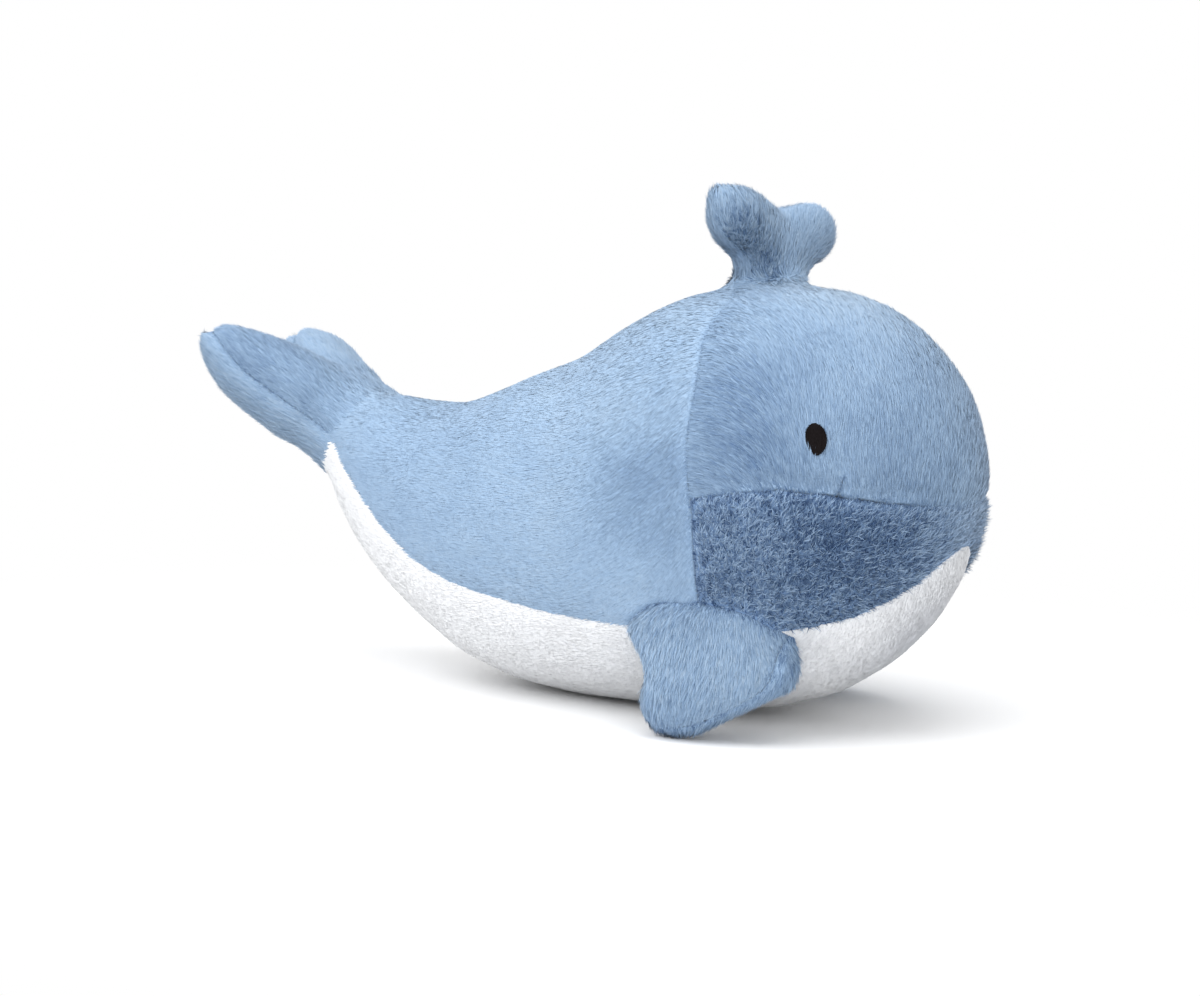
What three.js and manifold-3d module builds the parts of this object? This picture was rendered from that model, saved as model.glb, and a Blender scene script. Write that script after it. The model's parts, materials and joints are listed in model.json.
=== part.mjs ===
// A stuffed plush whale: sewn fabric panels over soft fill, with fins, flukes and a spout sewn on.
// Millimetres. +X is the nose, +Y the whale's left, +Z up; the belly rests on z = 0.
import * as THREE from "three";
import { mergeVertices } from "three/addons/utils/BufferGeometryUtils.js";
import Module from "manifold-3d";

// Fabric and fit
const FABRIC = 5; // backing and laid pile of a panel
const SEAM_GAP = 0.3; // slack between neighbouring pieces

// Body: the spine from nose to tail, with the half width and half height round it
const NOSE = { x: 179.5, z: 174.5 };
const BROW = { x: 45, z: 115.5, wide: 112, high: 118 };
const SHOULDER = { x: -25, z: 96, wide: 101, high: 101 };
const FLANK = { x: -85, z: 93, wide: 90, high: 88 };
const RUMP = { x: -135, z: 103, wide: 69, high: 66 };
const TAIL = { x: -223, z: 156, wide: 24, high: 22 };

// Seams of the body: the points that each passes through in side view, from past the body to past it
const MOUTH_CORNER = { x: 73, z: 125 };
const NECK_SEAM = [
  { x: MOUTH_CORNER.x, z: -20 },
  MOUTH_CORNER,
  { x: 67.5, z: 177 },
  { x: 45, z: 235 },
  { x: 17, z: 275 },
];
const MOUTH_SEAM = [
  { x: 43, z: 117.5 },
  MOUTH_CORNER,
  { x: 115, z: 132.5 },
  { x: 153, z: 128.5 },
  { x: 187.5, z: 124 },
  { x: 219.5, z: 124 },
];
const BELLY_SEAM = [
  { x: -211, z: 151 },
  { x: -181, z: 117 },
  { x: -117, z: 74.5 },
  { x: -40, z: 58 },
  { x: 30, z: 53.5 },
  { x: 115, z: 57.5 },
  { x: 159, z: 74.5 },
  { x: 183, z: 101 },
  { x: 199, z: 131 },
];

// Eyes: embroidered ovals
const EYE_X = 127.8;
const EYE_Z = 159;
const EYE_WIDTH = 12;
const EYE_HEIGHT = 16.5;
const EYE_LEAN = 8; // degrees, top towards the tail
const EYE_DEPTH = 2;
const EYE_PROUD = 0.6;
const EYE_CUT = 60; // length of the oval prism that cuts an eye out of the skin

// Fins: a paddle hung from a seam just above the belly's edge
const FIN_ROOT = { x: 74.5, z: 59 };
const FIN_ROOT_SINK = 3.9; // the root's middle line under the body's skin
const FIN_ROOT_TURN = 12.5; // degrees, the root's front end in towards the middle
const FIN_HANG = 4; // degrees from straight down, out from the body
const FIN_ROOT_LENGTH = 89;
const FIN_ROOT_THICK = 29;
const FIN_LENGTH = 57;
const FIN_MID_WIDTH = 83;
const FIN_MID_FORWARD = 7; // the leading edge swells this far towards the nose
const FIN_SHANK_WIDTH = 55; // between the middle and the tip
const FIN_TIP_WIDTH = 49;
const FIN_TIP_BACK = 12;
const FIN_MID_THICK = 33;
const FIN_SEAM_TURN = 9; // degrees, its edge seam lies outward along the leading edge
const FIN_SEAM_TILT = 16; // degrees, and outward towards the tip
const FIN_SEAM_SINK = 6; // and inward at the root's middle
const FIN_RANGE = [-6, 60];

// Tail flukes: two stuffed lobes on one root
const FLUKE_JOINT = { x: -203, z: 139 };
const FLUKE_RISE = 32; // degrees of the lobes' plane above level
const FLUKE_ROOT_WIDTH = 72;
const FLUKE_ROOT_THICK = 60;
const FLUKE_LENGTH = 101;
const FLUKE_SPREAD = 47; // the tips' distance from the middle
const FLUKE_MID_CHORD = 60;
const FLUKE_MID_THICK = 58;
const FLUKE_TIP_CHORD = 32;
const FLUKE_TIP_THICK = 30;
const FLUKE_SEAM_TILT = 4.5; // degrees, its edge seam lies upward towards the tips
const FLUKE_RANGE = [-14, 14];

// Spout: two lobes on a short neck
const SPOUT_X = 59.5;
const SPOUT_TWIST = 13; // degrees about the vertical
const SPOUT_LEAN = 5; // degrees, down on the left
const SPOUT_NECK_WIDTH = 46;
const SPOUT_NECK_DEPTH = 36;
const SPOUT_HEIGHT = 32; // neck seam to the lobes' middle
const SPOUT_SPREAD = 36; // the lobe ends' middle from the centre
const SPOUT_LOBE = 36;
const SPOUT_LOBE_DEPTH = 34;
const SPOUT_RANGE = [-20, 20];

// Facets
const BODY_RINGS = 20;
const BODY_SIDES = 24;
const LINING_RINGS = 10;
const LINING_SIDES = 16;
const LIMB_RINGS = 7;
const LIMB_SIDES = 12;
const ROOT_SIDES = 12;
const FAR = 600; // beyond every side of the toy

const wasm = await Module();
wasm.setup();

const rad = THREE.MathUtils.degToRad;
const vec = (x, y, z) => new THREE.Vector3(x, y, z);

// A closed three.js geometry as a solid, faces outward.
function solid(geometry) {
  const bare = new THREE.BufferGeometry();
  bare.setAttribute("position", geometry.getAttribute("position"));
  bare.setIndex(geometry.index);
  const merged = mergeVertices(bare, 1e-4);
  const triVerts = new Uint32Array(merged.index.array);
  const vertProperties = merged.attributes.position.array;
  const made = new wasm.Manifold(new wasm.Mesh({ numProp: 3, vertProperties, triVerts }));
  if (made.volume() > 0) return made;
  for (let i = 0; i < triVerts.length; i += 3) {
    [triVerts[i + 1], triVerts[i + 2]] = [triVerts[i + 2], triVerts[i + 1]];
  }
  return new wasm.Manifold(new wasm.Mesh({ numProp: 3, vertProperties, triVerts }));
}

// A solid's surface as a three.js geometry.
function surface(made) {
  const data = made.getMesh();
  const geometry = new THREE.BufferGeometry();
  geometry.setAttribute("position", new THREE.BufferAttribute(new Float32Array(data.vertProperties), 3));
  geometry.setIndex(new THREE.BufferAttribute(new Uint32Array(data.triVerts), 1));
  return geometry;
}

// The main piece of a cut, without its offcuts.
function mainPiece(cut) {
  const pieces = cut.decompose();
  return pieces.reduce((a, b) => (b.volume() > a.volume() ? b : a));
}

const joined = (solids) => solids.reduce((a, b) => a.add(b));
const without = (start, solids) => solids.reduce((a, b) => a.subtract(b), start);

// A smooth value through stations at the given places.
function along(places, values, at) {
  const last = places.length - 1;
  let i = 0;
  while (i < last - 1 && at > places[i + 1]) i++;
  const rise = (k) => (values[k + 1] - values[k]) / (places[k + 1] - places[k]);
  const slope = (k) => {
    if (k === 0) return rise(0);
    if (k === last) return rise(last - 1);
    const before = places[k] - places[k - 1];
    const after = places[k + 1] - places[k];
    return (rise(k - 1) * after + rise(k) * before) / (before + after);
  };
  const step = places[i + 1] - places[i];
  const f = (at - places[i]) / step;
  const bend = slope(i) * f * (1 - f) ** 2 + slope(i + 1) * f * f * (f - 1);
  return values[i] + (values[i + 1] - values[i]) * f * f * (3 - 2 * f) + bend * step;
}

// A stuffed form: ellipses along a spine, swelling and tapering, with rounded or flat ends.
// The spine lies in a plane, and across points out of it. The ellipses stand square to the spine,
// or all lie along one level.
class StuffedForm {
  constructor({ spine, across, level, wide, high, roundStart = false, roundEnd = 0 }) {
    this.curve = new THREE.CatmullRomCurve3(spine, false, "chordal");
    this.across = across.clone().normalize();
    this.level = level;
    this.wide = wide;
    this.high = high;
    const steps = 40;
    const lengths = this.curve.getLengths(steps * (spine.length - 1));
    this.places = spine.map((_, k) => lengths[k * steps] / lengths.at(-1));
    this.roundStart = roundStart ? this.places[1] : 0;
    this.roundEnd = roundEnd;
  }

  // Ring places bunch towards a rounded end, so that the end stays smooth.
  place(k) {
    let t = k;
    if (this.roundStart && k < 0.4) t = this.roundStart * (1 - Math.cos((k / 0.4) * (Math.PI / 2)));
    else if (this.roundStart) t = this.roundStart + ((k - 0.4) / 0.6) * (1 - this.roundStart);
    const start = 1 - this.roundEnd;
    const quarter = ((k - 0.55) / 0.45) * (Math.PI / 2);
    if (this.roundEnd && k > 0.55) t = start + this.roundEnd * Math.sin(quarter);
    else if (this.roundEnd) t = (k / 0.55) * start;
    return t;
  }

  swell(t) {
    if (this.roundStart && t < this.roundStart) return Math.sqrt(1 - (1 - t / this.roundStart) ** 2);
    if (this.roundEnd && t > 1 - this.roundEnd) {
      return Math.sqrt(Math.max(0, 1 - ((t - 1 + this.roundEnd) / this.roundEnd) ** 2));
    }
    return 1;
  }

  geometry(rings, sides, inset = 0) {
    const points = [];
    const faces = [];
    for (let i = 0; i <= rings; i++) {
      const t = this.place(i / rings);
      const centre = this.curve.getPointAt(t);
      const up = this.level ?? this.curve.getTangentAt(t).cross(this.across).normalize();
      const size = this.swell(t);
      const wide = along(this.places, this.wide, t) * size;
      const high = along(this.places, this.high, t) * size;
      for (let j = 0; j < sides; j++) {
        const a = (j / sides) * 2 * Math.PI;
        const point = centre.clone();
        point.addScaledVector(this.across, wide * Math.cos(a));
        point.addScaledVector(up, high * Math.sin(a));
        points.push(...point.toArray());
      }
    }
    for (let i = 0; i < rings; i++) {
      for (let j = 0; j < sides; j++) {
        const a = i * sides + j;
        const b = i * sides + ((j + 1) % sides);
        faces.push(a, b, a + sides, b, b + sides, a + sides);
      }
    }
    const poles = [0, rings].map((ring) => {
      points.push(...this.curve.getPointAt(this.place(ring / rings)).toArray());
      return points.length / 3 - 1;
    });
    for (let j = 0; j < sides; j++) {
      const next = (j + 1) % sides;
      faces.push(poles[0], next, j, poles[1], rings * sides + j, rings * sides + next);
    }
    const raw = new THREE.BufferGeometry();
    raw.setAttribute("position", new THREE.Float32BufferAttribute(points, 3));
    raw.setIndex(faces);
    const whole = mergeVertices(raw, 1e-3);
    whole.setIndex(wholeFaces(whole.index.array));
    whole.computeVertexNormals();
    if (inset === 0) return whole;
    const place = whole.getAttribute("position");
    const normal = whole.getAttribute("normal");
    const turn = signedVolume(whole) > 0 ? 1 : -1;
    for (let i = 0; i < place.count; i++) {
      const p = vec().fromBufferAttribute(place, i);
      p.addScaledVector(vec().fromBufferAttribute(normal, i), -inset * turn);
      place.setXYZ(i, p.x, p.y, p.z);
    }
    return whole;
  }
}

// Faces that did not collapse at a rounded end.
function wholeFaces(index) {
  const kept = [];
  for (let i = 0; i < index.length; i += 3) {
    const [a, b, c] = [index[i], index[i + 1], index[i + 2]];
    if (a !== b && b !== c && c !== a) kept.push(a, b, c);
  }
  return kept;
}

function signedVolume(geometry) {
  const place = geometry.getAttribute("position");
  const corner = (i) => vec().fromBufferAttribute(place, geometry.index.array[i]);
  let sum = 0;
  for (let i = 0; i < geometry.index.count; i += 3) {
    sum += corner(i).dot(corner(i + 1).cross(corner(i + 2)));
  }
  return sum / 6;
}

// The rounded root of a sewn-on limb, which turns in a hollow of the same shape.
class SewnHinge {
  constructor({ point, axis, length, thick, range }) {
    this.point = point;
    this.axis = axis.clone().normalize();
    this.halfLength = length / 2;
    this.radius = thick / 2;
    this.range = range;
  }

  spindle(radius, halfLength, sides) {
    const profile = [];
    const steps = 6;
    for (let i = 0; i <= steps; i++) {
      const a = (i / steps) * Math.PI;
      const r = i === 0 || i === steps ? 0 : radius * Math.sin(a);
      profile.push(new THREE.Vector2(r, -halfLength * Math.cos(a)));
    }
    const turned = new THREE.LatheGeometry(profile, sides);
    turned.applyQuaternion(new THREE.Quaternion().setFromUnitVectors(vec(0, 1, 0), this.axis));
    turned.translate(...this.point.toArray());
    return solid(turned);
  }

  knuckle(inset = 0) {
    const sides = inset > 0 ? LIMB_SIDES : ROOT_SIDES;
    return this.spindle(this.radius - inset, this.halfLength - inset, sides);
  }

  // The hollow's flats, not just its corners, lie clear of the knuckle's corners at every angle.
  socket() {
    const radius = (this.radius + SEAM_GAP) / Math.cos(Math.PI / ROOT_SIDES);
    return this.spindle(radius, this.halfLength + SEAM_GAP, ROOT_SIDES);
  }

  // What the body covers, seen from the limb, at rest and at both ends of the limb's travel.
  bodySweep(clearance) {
    const covered = surface(bodySolid(-clearance, BODY_RINGS, BODY_SIDES));
    return [0, ...this.range].map((angle) => {
      const turned = covered.clone();
      turned.translate(...this.point.clone().negate().toArray());
      turned.applyQuaternion(new THREE.Quaternion().setFromAxisAngle(this.axis, -rad(angle)));
      turned.translate(...this.point.toArray());
      return solid(turned);
    });
  }
}

// A limb: its outer form, its lining and its fill, each trimmed clear of the body.
function limb(forms, hinge) {
  const trimmed = (inset, rings, sides) => {
    const lobes = joined(forms.map((form) => solid(form.geometry(rings, sides, inset))));
    const free = without(lobes, hinge.bodySweep(SEAM_GAP + inset));
    return mainPiece(free.add(hinge.knuckle(inset)));
  };
  const outer = trimmed(0, LIMB_RINGS, LIMB_SIDES);
  const lining = trimmed(FABRIC, LIMB_RINGS - 1, LIMB_SIDES - 4);
  const fill = trimmed(FABRIC + SEAM_GAP, LIMB_RINGS - 1, LIMB_SIDES - 4);
  return { shell: outer.subtract(lining), fill: mainPiece(fill.intersect(lining)) };
}

// All space on the side of a plane that its normal points to.
function sideOf(point, normal) {
  const block = new THREE.BoxGeometry(2 * FAR, 2 * FAR, 2 * FAR);
  block.translate(0, 0, FAR);
  const turn = new THREE.Quaternion().setFromUnitVectors(vec(0, 0, 1), normal.clone().normalize());
  block.applyQuaternion(turn);
  block.translate(...point.toArray());
  return solid(block);
}

function halves(shell, point, normal) {
  const half = normal.clone().normalize().multiplyScalar(SEAM_GAP / 2);
  const front = shell.intersect(sideOf(point.clone().add(half), half));
  const back = shell.intersect(sideOf(point.clone().sub(half), half.clone().negate()));
  return [mainPiece(front), mainPiece(back)];
}

// A side-view outline carried right across the toy.
function acrossBody(outline) {
  const depth = 2 * FAR;
  const prism = new THREE.ExtrudeGeometry(new THREE.Shape(outline), { depth, bevelEnabled: false });
  prism.rotateX(Math.PI / 2);
  prism.translate(0, FAR, 0);
  return solid(prism);
}

const point2 = (x, z) => new THREE.Vector2(x, z);

// A smooth side-view line through a seam's points.
function smoothLine(points, count) {
  return new THREE.SplineCurve(points.map((p) => point2(p.x, p.z))).getPoints(count);
}

// A seam as a thin slit along its line.
function slit(line) {
  const edge = (side) =>
    line.map((p, i) => {
      const ahead = line[Math.min(i + 1, line.length - 1)];
      const behind = line[Math.max(i - 1, 0)];
      const step = ahead.clone().sub(behind).normalize();
      return point2(p.x - (step.y * side * SEAM_GAP) / 2, p.y + (step.x * side * SEAM_GAP) / 2);
    });
  return acrossBody([...edge(1), ...edge(-1).reverse()]);
}

// The body, in front of the tail seam and flat where it rests
const stations = [BROW, SHOULDER, FLANK, RUMP, TAIL];
const body = new StuffedForm({
  spine: [NOSE, ...stations].map((s) => vec(s.x, 0, s.z)),
  across: vec(0, 1, 0),
  wide: [BROW, ...stations].map((s) => s.wide),
  high: [BROW, ...stations].map((s) => s.high),
  roundStart: true,
});

const tailWay = vec(-Math.cos(rad(FLUKE_RISE)), 0, Math.sin(rad(FLUKE_RISE)));
const tailCut = FLUKE_ROOT_THICK * 0.16; // the body stops this far in front of the flukes' axis
const tailEnd = vec(FLUKE_JOINT.x, 0, FLUKE_JOINT.z).addScaledVector(tailWay, -tailCut);

function bodySolid(inset, rings, sides) {
  const whole = solid(body.geometry(rings, sides, inset));
  const rested = whole.intersect(sideOf(vec(0, 0, inset), vec(0, 0, 1)));
  const end = tailEnd.clone().addScaledVector(tailWay, -inset);
  return rested.intersect(sideOf(end, tailWay.clone().negate()));
}

// Where a line meets the body from outside, on its right side or on its top.
const bodySkin = new THREE.Mesh(body.geometry(BODY_RINGS, BODY_SIDES));
bodySkin.material.side = THREE.DoubleSide;

function onBody(x, z) {
  const ray = new THREE.Raycaster(vec(x, -FAR, z), vec(0, 1, 0));
  const hit = ray.intersectObject(bodySkin)[0];
  const normal = hit.face.normal.clone();
  if (normal.y > 0) normal.negate();
  return { point: hit.point, normal };
}

function topOfBody(x) {
  const ray = new THREE.Raycaster(vec(x, 0, FAR), vec(0, 0, -1));
  return ray.intersectObject(bodySkin)[0].point;
}

// Fins
function finHinge(side) {
  const turn = rad(FIN_ROOT_TURN);
  return new SewnHinge({
    point: vec(FIN_ROOT.x, side * (-onBody(FIN_ROOT.x, FIN_ROOT.z).point.y - FIN_ROOT_SINK), FIN_ROOT.z),
    axis: vec(Math.cos(turn), -side * Math.sin(turn), 0),
    length: FIN_ROOT_LENGTH,
    thick: FIN_ROOT_THICK,
    range: side < 0 ? FIN_RANGE.map((a) => -a).reverse() : FIN_RANGE,
  });
}

function fin(side) {
  const hinge = finHinge(side);
  const outward = vec(0, 0, 1).cross(hinge.axis).multiplyScalar(side).normalize();
  const down = vec(0, 0, -1).multiplyScalar(Math.cos(rad(FIN_HANG)));
  down.addScaledVector(outward, Math.sin(rad(FIN_HANG)));
  const at = (s, fore) => hinge.point.clone().addScaledVector(down, s).addScaledVector(hinge.axis, fore);
  const face = hinge.axis.clone().cross(down).multiplyScalar(side).normalize();
  const blade = new StuffedForm({
    spine: [
      at(0, 0),
      at(FIN_LENGTH * 0.45, FIN_MID_FORWARD),
      at(FIN_LENGTH * 0.75, -FIN_TIP_BACK / 2),
      at(FIN_LENGTH, -FIN_TIP_BACK),
    ],
    across: face,
    level: hinge.axis,
    wide: [FIN_ROOT_THICK * 0.49, FIN_MID_THICK / 2, FIN_MID_THICK * 0.46, FIN_MID_THICK * 0.42],
    high: [FIN_ROOT_LENGTH * 0.48, FIN_MID_WIDTH / 2, FIN_SHANK_WIDTH / 2, FIN_TIP_WIDTH / 2],
    roundEnd: 0.42,
  });
  const made = limb([blade], hinge);
  const seam = face.clone().addScaledVector(hinge.axis, -Math.tan(rad(FIN_SEAM_TURN)));
  seam.addScaledVector(down, -Math.tan(rad(FIN_SEAM_TILT)));
  const middle = hinge.point.clone().addScaledVector(face, -FIN_SEAM_SINK);
  const [upper, under] = halves(made.shell, middle, seam);
  return { hinge, upper, under, fill: made.fill };
}

// Flukes
function flukes() {
  const hinge = new SewnHinge({
    point: vec(FLUKE_JOINT.x, 0, FLUKE_JOINT.z),
    axis: vec(0, 1, 0),
    length: FLUKE_ROOT_WIDTH,
    thick: FLUKE_ROOT_THICK,
    range: FLUKE_RANGE,
  });
  const face = hinge.axis.clone().cross(tailWay);
  const lobes = [-1, 1].map((side) => {
    const at = (s, y) => hinge.point.clone().addScaledVector(tailWay, s).add(vec(0, side * y, 0));
    return new StuffedForm({
      spine: [
        at(0, FLUKE_ROOT_WIDTH * 0.1),
        at(FLUKE_LENGTH * 0.38, FLUKE_SPREAD * 0.44),
        at(FLUKE_LENGTH * 0.7, FLUKE_SPREAD * 0.8),
        at(FLUKE_LENGTH, FLUKE_SPREAD),
      ],
      across: face,
      wide: [FLUKE_ROOT_THICK * 0.47, FLUKE_MID_THICK / 2, FLUKE_MID_THICK * 0.4, FLUKE_TIP_THICK / 2],
      high: [FLUKE_ROOT_WIDTH * 0.38, FLUKE_MID_CHORD / 2, FLUKE_MID_CHORD * 0.42, FLUKE_TIP_CHORD / 2],
      roundEnd: 0.3,
    });
  });
  const made = limb(lobes, hinge);
  const seam = face.clone().applyAxisAngle(hinge.axis, rad(FLUKE_SEAM_TILT));
  const [upper, lower] = halves(made.shell, hinge.point, seam);
  return { hinge, upper, lower, fill: made.fill };
}

// Spout
function spout() {
  const twist = rad(SPOUT_TWIST);
  const spread = vec(Math.sin(twist), Math.cos(twist), -Math.tan(rad(SPOUT_LEAN))).normalize();
  const hinge = new SewnHinge({
    point: topOfBody(SPOUT_X),
    axis: spread,
    length: SPOUT_NECK_WIDTH,
    thick: SPOUT_NECK_DEPTH,
    range: SPOUT_RANGE,
  });
  const face = spread.clone().cross(vec(0, 0, 1)).normalize();
  const rise = face.clone().cross(spread);
  const lobes = [-1, 1].map((side) => {
    const at = (out, up) => {
      const beside = hinge.point.clone().addScaledVector(spread, side * out);
      return beside.addScaledVector(rise, up);
    };
    return new StuffedForm({
      spine: [
        at(SPOUT_NECK_WIDTH * 0.08, 0),
        at(SPOUT_SPREAD * 0.2, SPOUT_HEIGHT * 0.6),
        at(SPOUT_SPREAD * 0.72, SPOUT_HEIGHT * 0.84),
        at(SPOUT_SPREAD + SPOUT_LOBE * 0.45, SPOUT_HEIGHT * 1.1),
      ],
      across: face,
      wide: [SPOUT_NECK_DEPTH * 0.48, SPOUT_LOBE_DEPTH / 2, SPOUT_LOBE_DEPTH / 2, SPOUT_LOBE_DEPTH * 0.45],
      high: [SPOUT_NECK_WIDTH * 0.41, SPOUT_LOBE * 0.56, SPOUT_LOBE * 0.55, SPOUT_LOBE / 2],
      roundEnd: 0.3,
    });
  });
  const made = limb(lobes, hinge);
  const [front, back] = halves(made.shell, hinge.point, face);
  return { hinge, front, back, fill: made.fill };
}

const rightFin = fin(-1);
const leftFin = fin(1);
const tail = flukes();
const blow = spout();
const sockets = [rightFin, leftFin, tail, blow].map((part) => part.hinge.socket());

// Panels of the body
const cover = bodySolid(0, BODY_RINGS, BODY_SIDES);
const lining = bodySolid(FABRIC, LINING_RINGS, LINING_SIDES);
const shell = without(cover.subtract(lining), sockets);
const bodyFill = mainPiece(without(bodySolid(FABRIC + SEAM_GAP, LINING_RINGS, LINING_SIDES), sockets));

const neckLine = smoothLine(NECK_SEAM, 9);
const mouthLine = smoothLine(MOUTH_SEAM, 10);
const bellyLine = smoothLine(BELLY_SEAM, 20);

// All space below a seam that runs from the tail's side to the nose's.
function below(line) {
  const past = point2(FAR, line.at(-1).y);
  return acrossBody([...line, past, point2(FAR, -FAR), point2(line[0].x, -FAR)]);
}

const ahead = acrossBody([...neckLine, point2(FAR, FAR), point2(FAR, neckLine[0].y)]);
const belowMouth = below(mouthLine);
const belowBelly = below(bellyLine);
const [neckSlit, mouthSlit, bellySlit] = [neckLine, mouthLine, bellyLine].map(slit);

const upper = shell.subtract(belowBelly).subtract(bellySlit);
const bellyPanel = mainPiece(shell.intersect(belowBelly).subtract(bellySlit));
const head = upper.intersect(ahead).subtract(neckSlit);
const jawPanel = mainPiece(head.intersect(belowMouth).subtract(mouthSlit));
const forehead = mainPiece(head.subtract(belowMouth).subtract(mouthSlit));
const [leftSide, rightSide] = halves(upper.subtract(ahead).subtract(neckSlit), vec(0, 0, 0), vec(0, 1, 0));

// Eyes, stitched into the forehead
function eye(side) {
  const { point, normal } = onBody(EYE_X, EYE_Z);
  point.y *= -side;
  normal.y *= -side;
  const oval = (grow) => {
    const shape = new THREE.Shape();
    shape.absellipse(0, 0, EYE_WIDTH / 2 + grow, EYE_HEIGHT / 2 + grow, 0, 2 * Math.PI);
    const depth = EYE_CUT;
    const prism = new THREE.ExtrudeGeometry(shape, { depth, bevelEnabled: false, curveSegments: 5 });
    prism.translate(0, 0, -depth / 2);
    prism.rotateZ(-side * rad(EYE_LEAN));
    prism.applyMatrix4(new THREE.Matrix4().lookAt(normal, vec(0, 0, 0), vec(0, 0, 1)));
    prism.translate(...point.toArray());
    return solid(prism);
  };
  const skin = (inset) => solid(body.geometry(BODY_RINGS, BODY_SIDES, inset));
  return {
    patch: mainPiece(oval(0).intersect(skin(-EYE_PROUD)).subtract(skin(EYE_DEPTH))),
    recess: oval(SEAM_GAP).subtract(skin(EYE_DEPTH + SEAM_GAP)),
  };
}

const rightEye = eye(-1);
const leftEye = eye(1);
const foreheadPanel = mainPiece(without(forehead, [rightEye.recess, leftEye.recess]));

// Finishes
const finish = (color, roughness) => new THREE.MeshStandardMaterial({ color, roughness, metalness: 0 });
const BLUE_PLUSH = finish(0x8fb0d0, 0.95);
const NAPPED_PLUSH = finish(0x5f7fa6, 0.95);
const WHITE_PLUSH = finish(0xeceff2, 0.95);
const DARK_THREAD = finish(0x231f22, 0.6);
const FIBRE_FILL = finish(0xf5f4f0, 1);

const whale = new THREE.Group();
whale.name = "plush_whale";

function addPart(name, made, material) {
  const geometry = surface(made);
  geometry.computeVertexNormals();
  const mesh = new THREE.Mesh(geometry, material);
  mesh.name = name;
  whale.add(mesh);
}

addPart("forehead_panel", foreheadPanel, BLUE_PLUSH);
addPart("jaw_panel", jawPanel, NAPPED_PLUSH);
addPart("right_side_panel", rightSide, BLUE_PLUSH);
addPart("left_side_panel", leftSide, BLUE_PLUSH);
addPart("belly_panel", bellyPanel, WHITE_PLUSH);
addPart("body_fill", bodyFill, FIBRE_FILL);
addPart("right_eye", rightEye.patch, DARK_THREAD);
addPart("left_eye", leftEye.patch, DARK_THREAD);
addPart("right_fin_upper_panel", rightFin.upper, BLUE_PLUSH);
addPart("right_fin_under_panel", rightFin.under, BLUE_PLUSH);
addPart("right_fin_fill", rightFin.fill, FIBRE_FILL);
addPart("left_fin_upper_panel", leftFin.upper, BLUE_PLUSH);
addPart("left_fin_under_panel", leftFin.under, BLUE_PLUSH);
addPart("left_fin_fill", leftFin.fill, FIBRE_FILL);
addPart("fluke_upper_panel", tail.upper, BLUE_PLUSH);
addPart("fluke_lower_panel", tail.lower, BLUE_PLUSH);
addPart("fluke_fill", tail.fill, FIBRE_FILL);
addPart("spout_front_panel", blow.front, BLUE_PLUSH);
addPart("spout_back_panel", blow.back, BLUE_PLUSH);
addPart("spout_fill", blow.fill, FIBRE_FILL);

export default whale;
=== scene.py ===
"""A stuffed plush whale: padded panels with a laid pile, stitched eyes and loose fill."""

import json
import logging
import math
from collections.abc import Mapping, Sequence
from dataclasses import dataclass, field
from enum import Enum
from typing import TypeVar

import bmesh
import bpy
import numpy as np
from mathutils import Matrix, Vector, noise
from mathutils.bvhtree import BVHTree


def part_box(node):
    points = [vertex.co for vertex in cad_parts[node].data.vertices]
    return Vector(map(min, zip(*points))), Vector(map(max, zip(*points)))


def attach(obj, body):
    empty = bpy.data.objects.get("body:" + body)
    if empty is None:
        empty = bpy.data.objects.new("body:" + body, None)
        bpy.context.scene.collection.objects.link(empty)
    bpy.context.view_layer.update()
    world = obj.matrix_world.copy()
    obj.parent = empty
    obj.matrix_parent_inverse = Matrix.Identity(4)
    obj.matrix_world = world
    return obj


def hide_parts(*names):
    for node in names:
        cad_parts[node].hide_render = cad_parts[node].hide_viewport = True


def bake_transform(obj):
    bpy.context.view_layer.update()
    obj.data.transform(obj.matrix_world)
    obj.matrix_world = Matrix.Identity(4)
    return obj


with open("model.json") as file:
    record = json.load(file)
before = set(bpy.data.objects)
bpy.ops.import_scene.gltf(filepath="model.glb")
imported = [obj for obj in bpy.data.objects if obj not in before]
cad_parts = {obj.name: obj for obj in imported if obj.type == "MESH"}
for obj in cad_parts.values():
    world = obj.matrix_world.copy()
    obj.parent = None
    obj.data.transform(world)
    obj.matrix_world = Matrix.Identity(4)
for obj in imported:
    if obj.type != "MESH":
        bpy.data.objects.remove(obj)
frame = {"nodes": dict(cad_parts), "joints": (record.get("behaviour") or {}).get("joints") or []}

LOG = logging.getLogger("plush_whale")
MM = 0.001
PILE_MAP = "OFBake"
WELD = 0.02 * MM
TINY = 1e-9

Colour = tuple[float, float, float]
Point = tuple[float, float, float]
Paired = TypeVar("Paired")


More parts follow.
